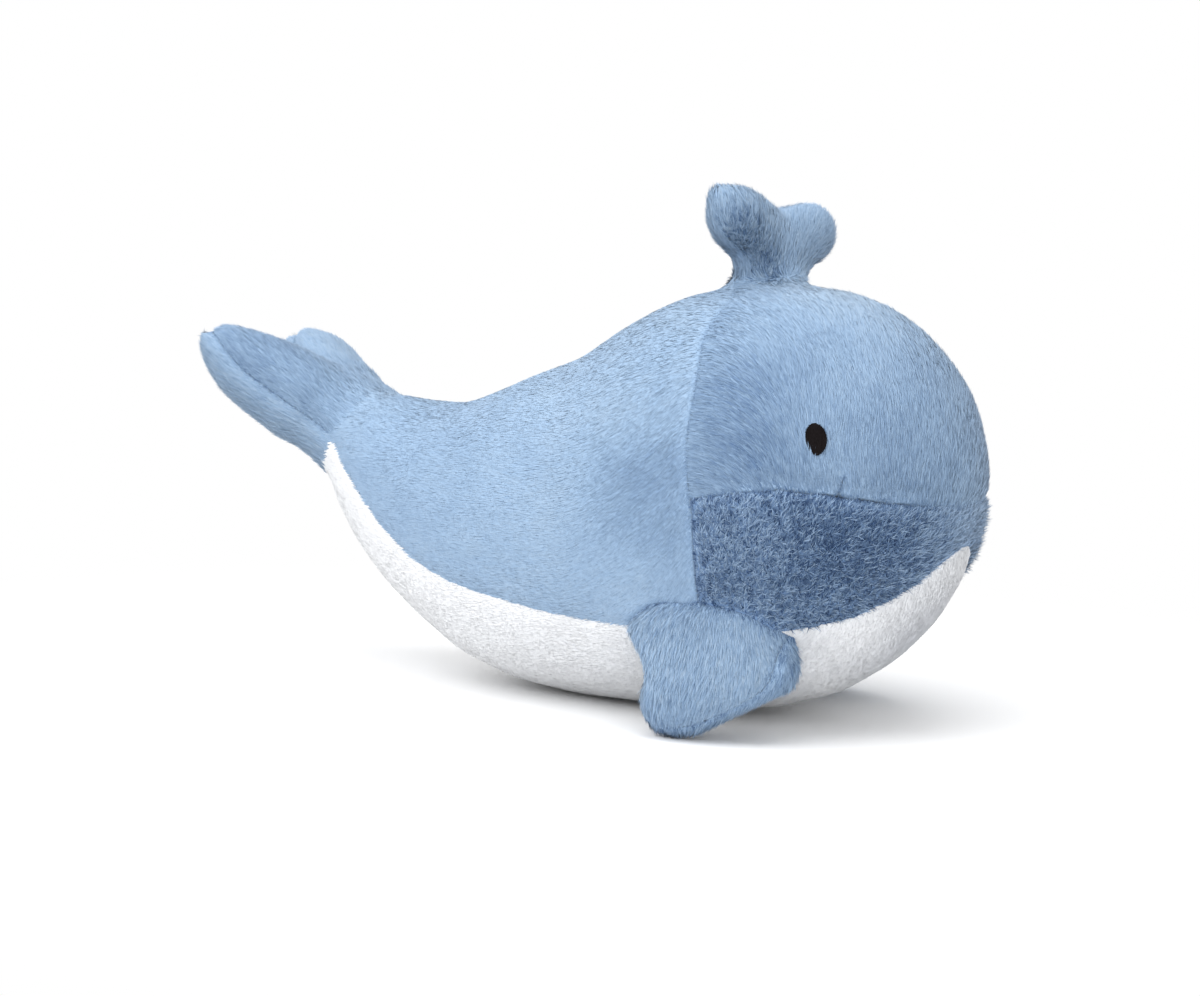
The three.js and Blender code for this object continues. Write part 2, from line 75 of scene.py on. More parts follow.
class Flow:
    """A socket that Python's operators work on, adding a Math node for each."""

    def __init__(self, bench: "Bench", node: bpy.types.Node, socket: bpy.types.NodeSocket) -> None:
        """Hold an output socket and the bench that its node stands on."""
        self.bench = bench
        self.node = node
        self.socket = socket

    def output(self, name: str) -> "Flow":
        """Give another output of the same node."""
        return Flow(self.bench, self.node, pick(self.node.outputs, name))

    def _math(self, operation: str, first: "Value", second: "Value") -> "Flow":
        """Add a Math node on two values."""
        return self.bench.make("ShaderNodeMath", {"operation": operation}, {0: first, 1: second})

    def __add__(self, other: "Value") -> "Flow":
        """Add a value."""
        return self._math("ADD", self, other)

    def __radd__(self, other: "Value") -> "Flow":
        """Add to a value."""
        return self._math("ADD", other, self)

    def __sub__(self, other: "Value") -> "Flow":
        """Take a value away."""
        return self._math("SUBTRACT", self, other)

    def __rsub__(self, other: "Value") -> "Flow":
        """Take this from a value."""
        return self._math("SUBTRACT", other, self)

    def __mul__(self, other: "Value") -> "Flow":
        """Multiply by a value."""
        return self._math("MULTIPLY", self, other)

    def __rmul__(self, other: "Value") -> "Flow":
        """Multiply a value."""
        return self._math("MULTIPLY", other, self)


Value = Flow | float | int | str | Sequence[float] | bpy.types.ID


def pick(sockets: Sequence[bpy.types.NodeSocket], key: str | int) -> bpy.types.NodeSocket:
    """Find a socket in use by its name or its place.

    Args:
        sockets: A node's inputs or outputs.
        key: The socket's name, or its place in the list.

    Returns:
        The socket.
    """
    if isinstance(key, int):
        return sockets[key]
    return next(s for s in sockets if s.name == key and s.enabled)


@dataclass(frozen=True)
class Speckle:
    """Fine noise that is fixed to a piece.

    Attributes:
        scale: How fine it is.
        detail: How many finer layers it has.
        roughness: How strong these are.
    """

    scale: float
    detail: float
    roughness: float = 0.5


@dataclass
class Bench:
    """A node tree that nodes are added to.

    Attributes:
        tree: A material's, world's or modifier's node tree.
    """

    tree: bpy.types.NodeTree

    def make(
        self,
        kind: str,
        settings: Mapping[str, object] | None = None,
        sockets: Mapping[str | int, Value] | None = None,
        output: str | int = 0,
    ) -> Flow:
        """Add a node, set it up, then fill its sockets.

        Args:
            kind: The node's type.
            settings: Its own settings; stops are those of a colour ramp.
            sockets: Values or links for its inputs.
            output: The output to go on from.

        Returns:
            The chosen output, or the node alone where it has none.
        """
        node = self.tree.nodes.new(kind)
        for name, value in (settings or {}).items():
            if name == "stops":
                self._set_stops(node.color_ramp, value)
            else:
                setattr(node, name, value)
        for key, value in (sockets or {}).items():
            self.feed(pick(node.inputs, key), value)
        first = pick(node.outputs, output) if len(node.outputs) else None
        return Flow(self, node, first)

    def feed(self, socket: bpy.types.NodeSocket, value: Value) -> None:
        """Link a socket, or set its value."""
        if isinstance(value, Flow):
            self.tree.links.new(value.socket, socket)
        else:
            socket.default_value = value

    @staticmethod
    def _set_stops(ramp: bpy.types.ColorRamp, stops: Sequence[tuple[float, Colour]]) -> None:
        """Lay out a ramp's stops, each a place and a colour."""
        while len(ramp.elements) < len(stops):
            ramp.elements.new(1.0)
        for element, (place, colour) in zip(ramp.elements, stops):
            element.position = place
            element.color = (*colour, 1.0)

    def ramp(self, value: Flow, *stops: tuple[float, Colour]) -> Flow:
        """Turn a value into a colour by a ramp's stops."""
        return self.make("ShaderNodeValToRGB", {"stops": stops}, {"Fac": value})

    def speckle(self, grain: Speckle) -> Flow:
        """Make noise that is fixed to the piece."""
        place = self.make("ShaderNodeTexCoord", None, None, "Object")
        sockets = {"Vector": place, "Scale": grain.scale, "Detail": grain.detail}
        return self.make("ShaderNodeTexNoise", None, {**sockets, "Roughness": grain.roughness})

    def shaded(self, colour: Flow, light: Flow) -> Flow:
        """Darken a colour by a value from 0 to 1."""
        grey = self.make("ShaderNodeCombineColor", None, dict.fromkeys(("Red", "Green", "Blue"), light))
        settings = {"data_type": "RGBA", "blend_type": "MULTIPLY"}
        return self.make("ShaderNodeMix", settings, {"Factor": 1.0, "A": colour, "B": grey}, "Result")

    def attribute(self, name: str, data_type: str = "FLOAT") -> Flow:
        """Read a named attribute in a modifier's tree."""
        return self.make("GeometryNodeInputNamedAttribute", {"data_type": data_type}, {"Name": name})

    def vector(self, operation: str, sockets: Mapping[str | int, Value]) -> Flow:
        """Add a Vector Math node."""
        return self.make("ShaderNodeVectorMath", {"operation": operation}, sockets)


@dataclass(frozen=True)
class Relief:
    """A fine relief of a surface.

    Attributes:
        strength: How strongly it shows.
        distance: How deep it is.
    """

    strength: float
    distance: float


class Surface:
    """A material in the making, with its bench and its shader."""

    def __init__(self, name: str, constants: Mapping[str, object]) -> None:
        """Start a material and set its shader's constants."""
        self.material = bpy.data.materials.new(name)
        self.material.use_nodes = True
        self.material.node_tree.nodes.clear()
        self.bench = Bench(self.material.node_tree)
        self.shader = self.bench.make("ShaderNodeBsdfPrincipled", None, constants)

    def show(self, shader: Flow) -> bpy.types.Material:
        """Make a shader what the material shows, and give the material."""
        self.bench.make("ShaderNodeOutputMaterial", None, {"Surface": shader})
        return self.material

    def finish(
        self,
        colour: Flow,
        height: Flow | None = None,
        relief: Relief | None = None,
    ) -> bpy.types.Material:
        """Feed the shader what changes over the surface.

        Args:
            colour: The surface's colour.
            height: The height of its relief, if it has one.
            relief: How that relief shows.

        Returns:
            The material.
        """
        inputs = self.shader.node.inputs
        self.bench.feed(inputs["Base Color"], colour)
        if height is not None:
            sockets = {"Strength": relief.strength, "Distance": relief.distance, "Height": height}
            self.bench.feed(inputs["Normal"], self.bench.make("ShaderNodeBump", None, sockets))
        return self.show(self.shader)


@dataclass(frozen=True)
class PlushFinish:
    """A pile fabric.

    Attributes:
        slot: Its slot in the record.
        deep: Painted shade, the colour deep in the parted pile.
        middle: Colour of the pile seen from its side.
        bright: Painted highlight, the colour where the pile lies flat and catches the light.
        root_shade: Painted shade at a fibre's root: how dark it is there, against its tip.
        knit: Relief of the backing.
        fibres: The backing's own fibres.
        blotches: Its larger blotches.
        blotched: The blotches' share in its colour.
        deepened: The deep colour's share in its darkest places.
        knit_span: Where in its noise the colour starts and ends to change.
    """

    slot: str
    deep: Colour
    middle: Colour
    bright: Colour
    root_shade: float
    knit: Relief = Relief(0.5, 0.8 * MM)
    fibres: Speckle = Speckle(700.0, 3.0)
    blotches: Speckle = Speckle(40.0, 2.0)
    blotched: float = 0.25
    deepened: float = 0.4
    knit_span: tuple[float, float] = (0.3, 0.62)

    def pile(self) -> bpy.types.Material:
        """Make the material of the tufts, which their map carries: tone across, root to tip up."""
        sheen = {"Sheen Weight": 0.12, "Sheen Roughness": 0.45}
        surface = Surface(f"{self.slot}_pile", {"Roughness": 0.8, "Specular IOR Level": 0.12, **sheen})
        bench = surface.bench
        place = bench.make("ShaderNodeUVMap", {"uv_map": PILE_MAP})
        split = bench.make("ShaderNodeSeparateXYZ", None, {"Vector": place})
        # The tone runs from painted shade, through the pile's own colour, to a painted highlight.
        tone = bench.ramp(split, (0.0, self.deep), (0.5, self.middle), (1.0, self.bright))
        # Painted shade: each tuft darkens towards its root.
        light = self.root_shade + (1.0 - self.root_shade) * split.output("Y")
        return surface.finish(bench.shaded(tone, light))

    def backing(self) -> bpy.types.Material:
        """Make the material of the knitted backing that shows between the tufts, with painted shade along
        seams and creases.
        """
        constants = {"Roughness": 0.95, "Sheen Weight": 0.1, "Specular IOR Level": 0.1}
        surface = Surface(f"{self.slot}_backing", constants)
        bench = surface.bench
        fibres = bench.speckle(self.fibres)
        mixed = fibres * (1.0 - self.blotched) + bench.speckle(self.blotches) * self.blotched
        pairs = zip(self.middle, self.deep)
        between = tuple((1.0 - self.deepened) * a + self.deepened * b for a, b in pairs)
        start, end = self.knit_span
        knit = bench.ramp(mixed, (start, between), (end, self.middle))
        # Painted shade along seams and creases, kept on the mesh.
        groove_shade = bench.make("ShaderNodeAttribute", {"attribute_name": "groove_shade"}, None, "Fac")
        return surface.finish(bench.shaded(knit, 1.0 - groove_shade), fibres, self.knit)


@dataclass(frozen=True)
class ThreadFinish:
    """Dark embroidery thread.

    Attributes:
        slot: Its slot in the record.
        dark: Colour between the threads.
        light: Colour on a thread.
        twist: Relief of the thread's twist.
        grain: Its noise.
        span: Where in that noise the colour starts and ends to change.
    """

    slot: str = "eye_thread"
    dark: Colour = (0.005, 0.003, 0.003)
    light: Colour = (0.011, 0.008, 0.009)
    twist: Relief = Relief(0.4, 0.2 * MM)
    grain: Speckle = Speckle(2500.0, 2.0)
    span: tuple[float, float] = (0.35, 0.65)

    def thread(self) -> bpy.types.Material:
        """Make the thread's material, finely mottled by its twist."""
        surface = Surface(self.slot, {"Roughness": 0.6, "Specular IOR Level": 0.1})
        twist = surface.bench.speckle(self.grain)
        start, end = self.span
        colour = surface.bench.ramp(twist, (start, self.dark), (end, self.light))
        return surface.finish(colour, twist, self.twist)


@dataclass(frozen=True)
class FibreFinish:
    """Loose polyester fibre.

    Attributes:
        slot: Its slot in the record.
        shade: Colour in its folds.
        light: Colour of its outer fibres.
        matting: Relief of the matted fibre.
        grain: Its noise.
        span: Where in that noise the colour starts and ends to change.
    """

    slot: str = "fibre_fill"
    shade: Colour = (0.62, 0.62, 0.58)
    light: Colour = (0.9, 0.9, 0.87)
    matting: Relief = Relief(0.8, 2.0 * MM)
    grain: Speckle = Speckle(180.0, 6.0, 0.7)
    span: tuple[float, float] = (0.3, 0.7)

    def wadding(self) -> bpy.types.Material:
        """Make the fill's material, clumped and matted."""
        surface = Surface(self.slot, {"Roughness": 1.0, "Specular IOR Level": 0.05})
        clumps = surface.bench.speckle(self.grain)
        start, end = self.span
        colour = surface.bench.ramp(clumps, (start, self.shade), (end, self.light))
        return surface.finish(colour, clumps, self.matting)


BLUE = PlushFinish(
    "blue_plush",
    deep=(0.09, 0.165, 0.31),
    middle=(0.330, 0.470, 0.655),
    bright=(0.465, 0.590, 0.725),
    root_shade=0.88,
)
NAPPED = PlushFinish(
    "napped_plush",
    deep=(0.050, 0.100, 0.220),
    middle=(0.205, 0.325, 0.530),
    bright=(0.420, 0.580, 0.800),
    root_shade=0.64,
)
WHITE = PlushFinish(
    "white_plush",
    deep=(0.50, 0.52, 0.57),
    middle=(0.835, 0.85, 0.872),
    bright=(0.875, 0.885, 0.905),
    root_shade=0.98,
)
THREAD = ThreadFinish()
FIBRE = FibreFinish()
MATERIALS: dict[tuple[str, str], bpy.types.Material] = {}


def material_of(finish: PlushFinish | ThreadFinish | FibreFinish, use: str) -> bpy.types.Material:
    """Give a finish's material for one use, made once.

    Args:
        finish: The finish.
        use: The name of its method for that use.

    Returns:
        The material.
    """
    key = (finish.slot, use)
    if key not in MATERIALS:
        MATERIALS[key] = getattr(finish, use)()
    return MATERIALS[key]


def joint_data(name: str) -> Mapping[str, object]:
    """Give a joint's entry in the record."""
    return next(j for j in frame["joints"] if j["name"] == name)


def new_object(name: str, mesh: bpy.types.Mesh) -> bpy.types.Object:
    """Put a mesh into the scene."""
    made = bpy.data.objects.new(name, mesh)
    bpy.context.scene.collection.objects.link(made)
    return made


def opened(mesh: bpy.types.Mesh) -> bmesh.types.BMesh:
    """Open a mesh as a bmesh."""
    bm = bmesh.new()
    bm.from_mesh(mesh)
    return bm


def put_back(bm: bmesh.types.BMesh, mesh: bpy.types.Mesh) -> None:
    """Write a bmesh into a mesh and free it."""
    bm.to_mesh(mesh)
    bm.free()


def to_mesh(name: str, bm: bmesh.types.BMesh) -> bpy.types.Mesh:
    """Turn a bmesh into a smooth mesh and free it."""
    mesh = bpy.data.meshes.new(name)
    for face in bm.faces:
        face.smooth = True
    put_back(bm, mesh)
    return mesh


def applied(holder: bpy.types.Object) -> bpy.types.Mesh:
    """Give an object's mesh with its modifiers applied, and take them off.

    Args:
        holder: An object with modifiers.

    Returns:
        The new mesh, which the object now has.
    """
    graph = bpy.context.evaluated_depsgraph_get()
    mesh = bpy.data.meshes.new_from_object(holder.evaluated_get(graph), depsgraph=graph)
    holder.modifiers.clear()
    old = holder.data
    holder.data = mesh
    bpy.data.meshes.remove(old)
    return mesh


def solids(nodes: Sequence[str]) -> bmesh.types.BMesh:
    """Open CAD nodes together, with their loose triangles merged."""
    bm = bmesh.new()
    for node in nodes:
        bm.from_mesh(frame["nodes"][node].data)
    bmesh.ops.remove_doubles(bm, verts=bm.verts, dist=WELD)
    return bm


def woven(name: str, bm: bmesh.types.BMesh, grid: float) -> bpy.types.Object:
    """Put a bmesh into the scene as one closed net.

    Args:
        name: The object's name.
        bm: The shapes to weave together, which are freed.
        grid: The size of a mesh of the net.

    Returns:
        The object.
    """
    piece = new_object(name, to_mesh(name, bm))
    weave = piece.modifiers.new("weave", "REMESH")
    weave.mode = "VOXEL"
    weave.voxel_size = grid
    applied(piece)
    return piece


def tree_of(mesh: bpy.types.Mesh) -> BVHTree:
    """Give a mesh's surface to measure from."""
    bm = opened(mesh)
    tree = BVHTree.FromBMesh(bm)
    bm.free()
    return tree


def rows_of(data: Sequence[object], key: str, width: int = 3, kind: type = np.float32) -> np.ndarray:
    """Read a value of each entry of a mesh's list.

    Args:
        data: The list, such as a mesh's vertices.
        key: The value's name.
        width: How many numbers it has.
        kind: The kind of number.

    Returns:
        One row for each entry.
    """
    flat = np.empty(len(data) * width, kind)
    data.foreach_get(key, flat)
    return flat.reshape(-1, width)


def points_of(mesh: bpy.types.Mesh) -> np.ndarray:
    """Give a mesh's points as rows."""
    return rows_of(mesh.vertices, "co").astype(float)


def normals_of(mesh: bpy.types.Mesh) -> np.ndarray:
    """Give a mesh's point normals as rows."""
    return rows_of(mesh.vertex_normals, "vector").astype(float)


def edges_of(mesh: bpy.types.Mesh) -> np.ndarray:
    """Give a mesh's edges as pairs of points."""
    return rows_of(mesh.edges, "vertices", 2, np.int32)


def set_points(mesh: bpy.types.Mesh, points: np.ndarray) -> None:
    """Move a mesh's points."""
    mesh.vertices.foreach_set("co", points.astype(np.float32).ravel())
    mesh.update()


def keep(mesh: bpy.types.Mesh, name: str, values: np.ndarray) -> None:
    """Keep a value or a vector for each point of a mesh under a name.

    Args:
        mesh: The mesh.
        name: The attribute's name.
        values: One number or one row of three for each point.
    """
    kind, slot = ("FLOAT", "value") if values.ndim == 1 else ("FLOAT_VECTOR", "vector")
    attribute = mesh.attributes.get(name) or mesh.attributes.new(name, kind, "POINT")
    attribute.data.foreach_set(slot, values.astype(np.float32).ravel())


def kept(mesh: bpy.types.Mesh, name: str) -> np.ndarray:
    """Give back vectors that were kept under a name."""
    return rows_of(mesh.attributes[name].data, "vector").astype(float)


def drop(mesh: bpy.types.Mesh, names: Sequence[str]) -> None:
    """Take attributes off a mesh that no longer needs them."""
    for name in names:
        if name in mesh.attributes:
            mesh.attributes.remove(mesh.attributes[name])


def unit(rows: np.ndarray) -> np.ndarray:
    """Scale each row to a length of 1."""
    return rows / np.maximum(np.linalg.norm(rows, axis=1, keepdims=True), TINY)


def from_place(points: np.ndarray, place: Point) -> np.ndarray:
    """Give each point's distance from a place."""
    return np.linalg.norm(points - np.array(place), axis=1)


def fading(away: np.ndarray, reach: float) -> np.ndarray:
    """Fade from 1 at no distance to almost nothing at twice the reach."""
    return np.exp(-((away / reach) ** 2))


def along_skin(rows: np.ndarray, normals: np.ndarray) -> np.ndarray:
    """Take away what points out of the skin from each row."""
    return rows - normals * np.sum(rows * normals, axis=1, keepdims=True)


def evened(values: np.ndarray, edges: np.ndarray, rounds: int) -> np.ndarray:
    """Even out a value over a mesh by averaging each point with its neighbours.

    Args:
        values: One value for each point.
        edges: Pairs of points.
        rounds: How often to average.

    Returns:
        The evened values.
    """
    ends = np.concatenate([edges, edges[:, ::-1]])
    count = np.bincount(ends[:, 0], minlength=len(values))
    for _ in range(rounds):
        around = np.bincount(ends[:, 0], weights=values[ends[:, 1]], minlength=len(values))
        values = 0.5 * values + 0.5 * around / np.maximum(count, 1)
    return values


def smooth(mesh: bpy.types.Mesh, rounds: int, chosen: np.ndarray | None = None) -> None:
    """Smooth a mesh by a number of rounds.

    Args:
        mesh: The mesh.
        rounds: How often to smooth.
        chosen: Whether each point is smoothed; all are if it is left out.
    """
    bm = opened(mesh)
    verts = [v for v in bm.verts if chosen is None or chosen[v.index]]
    axes = {f"use_axis_{axis}": True for axis in "xyz"}
    for _ in range(rounds):
        bmesh.ops.smooth_vert(bm, verts=verts, factor=0.5, **axes)
    put_back(bm, mesh)


def nearest(points: np.ndarray, tree: BVHTree) -> tuple[np.ndarray, np.ndarray]:
    """Find how far each point is from a surface, and the nearest place on it.

    Args:
        points: The points.
        tree: The surface.

    Returns:
        The distances and the places.
    """
    found = [tree.find_nearest(Vector(p)) for p in points]
    return np.array([f[3] for f in found]), np.array([tuple(f[0]) for f in found])


def largest_shell(bm: bmesh.types.BMesh) -> None:
    """Delete all but the largest connected shell."""
    shells, seen = [], set()
    for start in bm.verts:
        if start in seen:
            continue
        shell, reach = [], [start]
        seen.add(start)
        while reach:
            vert = reach.pop()
            shell.append(vert)
            fresh = [n for n in (e.other_vert(vert) for e in vert.link_edges) if n not in seen]
            seen.update(fresh)
            reach.extend(fresh)
        shells.append(shell)
    shells.sort(key=len)
    lost = [v for shell in shells[:-1] for v in shell]
    bmesh.ops.delete(bm, geom=lost, context="VERTS")


@dataclass(frozen=True)
class Cloud:
    """Soft noise over the skin.

    Attributes:
        size: The size of a cloud, in metres.
        shift: Moves the pattern.
        share: Its strength.
    """

    size: float
    shift: float = 0.0
    share: float = 1.0

    def at(self, points: np.ndarray) -> np.ndarray:
        """Give the noise at each point, from -share to share."""
        places = points / self.size + self.shift
        return self.share * np.array([noise.noise(Vector(p)) for p in places])


DENTED = Cloud(0.032, 11.0)
MOTTLED = Cloud(0.03, 3.0, 0.6)
FLECKED = Cloud(0.008, 5.0, 0.4)
RUFFLED = Cloud(0.02, 31.0, 0.04)
SWIRLED = tuple(Cloud(0.035, 7.0 * k) for k in range(3))
LUMPY = Cloud(0.012)


@dataclass(frozen=True)
class Lay:
    """The way that pile lies, which may turn along the whale.

    Attributes:
        rear: Its way behind the turn.
        front: Its way in front of the turn, if it turns.
        turn: Where along the whale the turn starts and ends.
        source: A point that the pile also flows away from.
        pull: How strongly it does.
    """

    rear: Point
    front: Point | None = None
    turn: tuple[float, float] = (0.0, 0.1)
    source: Point = (0.0, 0.0, 0.0)
    pull: float = 0.0


class Nap(Enum):
    """The ways that the panels are brushed."""

    OVER_THE_BROW = Lay((-1.0, 0.0, 0.0), (-0.12, 0.0, 1.0), (0.066, 0.130))
    ALONG_THE_SIDE = Lay((-1.0, 0.0, -0.06), (-0.55, 0.0, -0.85), (-0.040, 0.070))
    UNDER_THE_BELLY = Lay((-1.0, 0.0, 0.0), (-0.2, 0.0, -1.0), (0.100, 0.150))
    BRUSHED_UP = Lay((0.25, 0.0, 1.0))
    DOWN_THE_FIN = Lay((-0.12, 0.0, -1.0))
    TO_THE_TIPS = Lay((-0.5, 0.0, 0.3), source=(-0.203, 0.0, 0.139), pull=0.6)
    UP_THE_SPOUT = Lay((0.0, 0.0, 0.4), source=(0.0595, 0.0, 0.238), pull=0.8)

    def at(self, points: np.ndarray) -> np.ndarray:
        """Give the brushed way at each point."""
        lay = self.value
        start, end = lay.turn
        share = np.clip((points[:, :1] - start) / (end - start), 0.0, 1.0)
        way = np.array(lay.rear) * (1.0 - share) + np.array(lay.front or lay.rear) * share
        return way + lay.pull * unit(points - np.array(lay.source))


@dataclass(frozen=True)
class Patch:
    """A place where light and shade are painted on the pile, and where it may be parted or brushed the
    other way.

    Attributes:
        place: Its middle.
        radius: Its reach.
        tone: How much brighter the pile is painted there: painted light above 0, painted shade below.
        lift: How much more it stands up there.
        clump: How much more it hangs together in clumps there.
    """

    place: Point
    radius: float
    tone: float
    lift: float = 0.0
    clump: float = 0.0


@dataclass(frozen=True)
class Bend:
    """Where a limb's skin starts to follow the limb and where it wholly does.

    Attributes:
        limb: The limb's CAD body; not used.
        joint: The joint at its root; not used.
        way: Direction out along the limb; not used.
        start: Distance along way from the joint where the skin still follows the body; not used.
        end: Distance along way where it follows the limb; not used.
    """

    limb: str
    joint: str
    way: Point
    start: float
    end: float

    def apply(self, piece: bpy.types.Object) -> None:
        """Bake a finished piece's placement into its mesh."""
        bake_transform(piece)


@dataclass(frozen=True)
class Panel:
    """One sewn panel of a stuffed form.

    Attributes:
        node: The CAD node that it stands for.
        finish: Its fabric.
        nap: The way its pile is brushed.
        lift: How far the pile stands up, from 0, flat, to 1, on end.
        stray: How far single tufts stray from the nap.
        tone: The pile's usual tone, from 0, deep, to 1, bright; it differs between panels as painted sheen
            and shade for the lie of the nap.
        mottle: How far the tone changes from place to place.
        chance: How far it changes from tuft to tuft.
        clump: How far the tufts hang together in clumps of their own tone and way.
        softness: How far a tuft takes the light as the skin under it does, from 0 to 1.
        length: Length of its tufts against the form's own.
        width: Width of its tufts against the form's own.
        density: How thick its tufts grow against the form's own.
        patches: Places where light and shade are painted on the pile, some also where it is parted.
        bend: The limb that it lies on, if any.
    """

    node: str
    finish: PlushFinish
    nap: Nap
    lift: float = 0.23
    stray: float = 0.13
    tone: float = 0.62
    mottle: float = 0.13
    chance: float = 0.10
    clump: float = 0.12
    softness: float = 0.88
    length: float = 1.0
    width: float = 1.0
    density: float = 1.0
    patches: Sequence[Patch] = ()
    bend: Bend | None = None

    def attach(self, piece: bpy.types.Object) -> None:
        """Make a piece of the panel ride on the body; a piece on a limb only has its placement baked into
        its mesh.
        """
        if self.bend:
            self.bend.apply(piece)
        else:
            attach(piece, "body")


@dataclass(frozen=True)
class Seam:
    """How a seam draws the skin in, and the shade painted in its dip.

    Attributes:
        depth: How deep the skin dips.
        shade: How much darker the pile is painted in the dip: painted shade.
        overhang: How far the pile reaches over the seam.
        bare: How far the pile is sheared off along the seam, from 0 to 1.
        run: Places along the whale, from rear to front, with the seam's strength there.
    """

    depth: float
    shade: float = 0.3
    overhang: float = 2.0 * MM
    bare: float = 0.4
    run: Sequence[tuple[float, float]] = ((0.0, 1.0),)

    def strength(self, points: np.ndarray) -> np.ndarray:
        """Say how strong the seam is at each point, from 0 to 1."""
        places, strengths = zip(*self.run)
        return np.interp(points[:, 0], places, strengths)


ROOT_SEAM = Seam(0.6 * MM, 0.08, 1.8 * MM)


@dataclass(frozen=True)
class Ease:
    """A place where one form runs smoothly into another.

    Attributes:
        joint: The joint at its middle.
        radius: Its reach.
        rounds: Rounds of smoothing.
        evening: Rounds of evening out the size given back, for each round of smoothing.
    """

    joint: str
    radius: float
    rounds: int
    evening: int = 2

    def apply(self, mesh: bpy.types.Mesh) -> None:
        """Smooth the skin there, and give it back the size that smoothing takes."""
        rough = points_of(mesh)
        smooth(mesh, self.rounds, from_place(rough, joint_data(self.joint)["pos_m"]) < self.radius)
        points, normals = points_of(mesh), normals_of(mesh)
        shrunk = np.sum((rough - points) * normals, axis=1)
        shrunk = evened(shrunk, edges_of(mesh), self.evening * self.rounds)
        set_points(mesh, points + normals * shrunk[:, None])


@dataclass(frozen=True)
class Tuck:
    """A place where the skin is pushed or pulled, such as the corner of a limb that is sewn down.

    Attributes:
        place: Its middle.
        radius: Its reach.
        move: How far, and which way, the skin goes there.
    """

    place: Point
    radius: float
    move: Point

    def moved(self, points: np.ndarray) -> np.ndarray:
        """Give where each point goes."""
        near = fading(from_place(points, self.place), self.radius)
        return points + near[:, None] * np.array(self.move)


@dataclass(frozen=True)
class Crease:
    """A short pucker in a panel.

    Attributes:
        start: One end.
        end: The other end.
        depth: How deep it is.
        shade: How much darker the pile is painted in it: painted shade.
    """

    start: Point
    end: Point
    depth: float
    shade: float

    def on(self, points: np.ndarray) -> np.ndarray:
        """Give the place on the crease that is nearest to each point."""
        a, b = np.array(self.start), np.array(self.end)
        t = np.clip((points - a) @ (b - a) / np.dot(b - a, b - a), 0.0, 1.0)
        return a + t[:, None] * (b - a)

    def away(self, points: np.ndarray) -> np.ndarray:
        """Give each point's distance from the crease."""
        return np.linalg.norm(points - self.on(points), axis=1)


@dataclass(frozen=True)
class Root:
    """Where a limb is sewn on: a plug that fills the body's hollow there.

    Attributes:
        joint: The joint at the root.
        radius: The plug's radius.
        half_length: The plug's half length along the joint's axis.
    """

    joint: str
    radius: float
    half_length: float

    def matrix(self) -> Matrix:
        """Place a unit sphere as the plug."""
        data = joint_data(self.joint)
        turn = Vector((0, 0, 1)).rotation_difference(Vector(data["axis"])).to_matrix().to_4x4()
        size = Matrix.Diagonal((self.radius, self.radius, self.half_length, 1.0))
        return Matrix.Translation(data["pos_m"]) @ turn @ size


class Draw(Enum):
    """The chance draws of a tuft, each with its own seed."""

    WAY = 1
    LENGTH = 2
    TONE = 3
    WIDTH = 4
    TILT = 5


BRUSHED = (
    *("growth", "length", "width", "stray", "tone", "chance", "clump"),
    *("groove_shade", "lean", "skin_normal", "outside"),
)
SPIKE = ("across", "upward")
SPIKE_POINTS = 4
SEEDS_PER_PANEL = 10


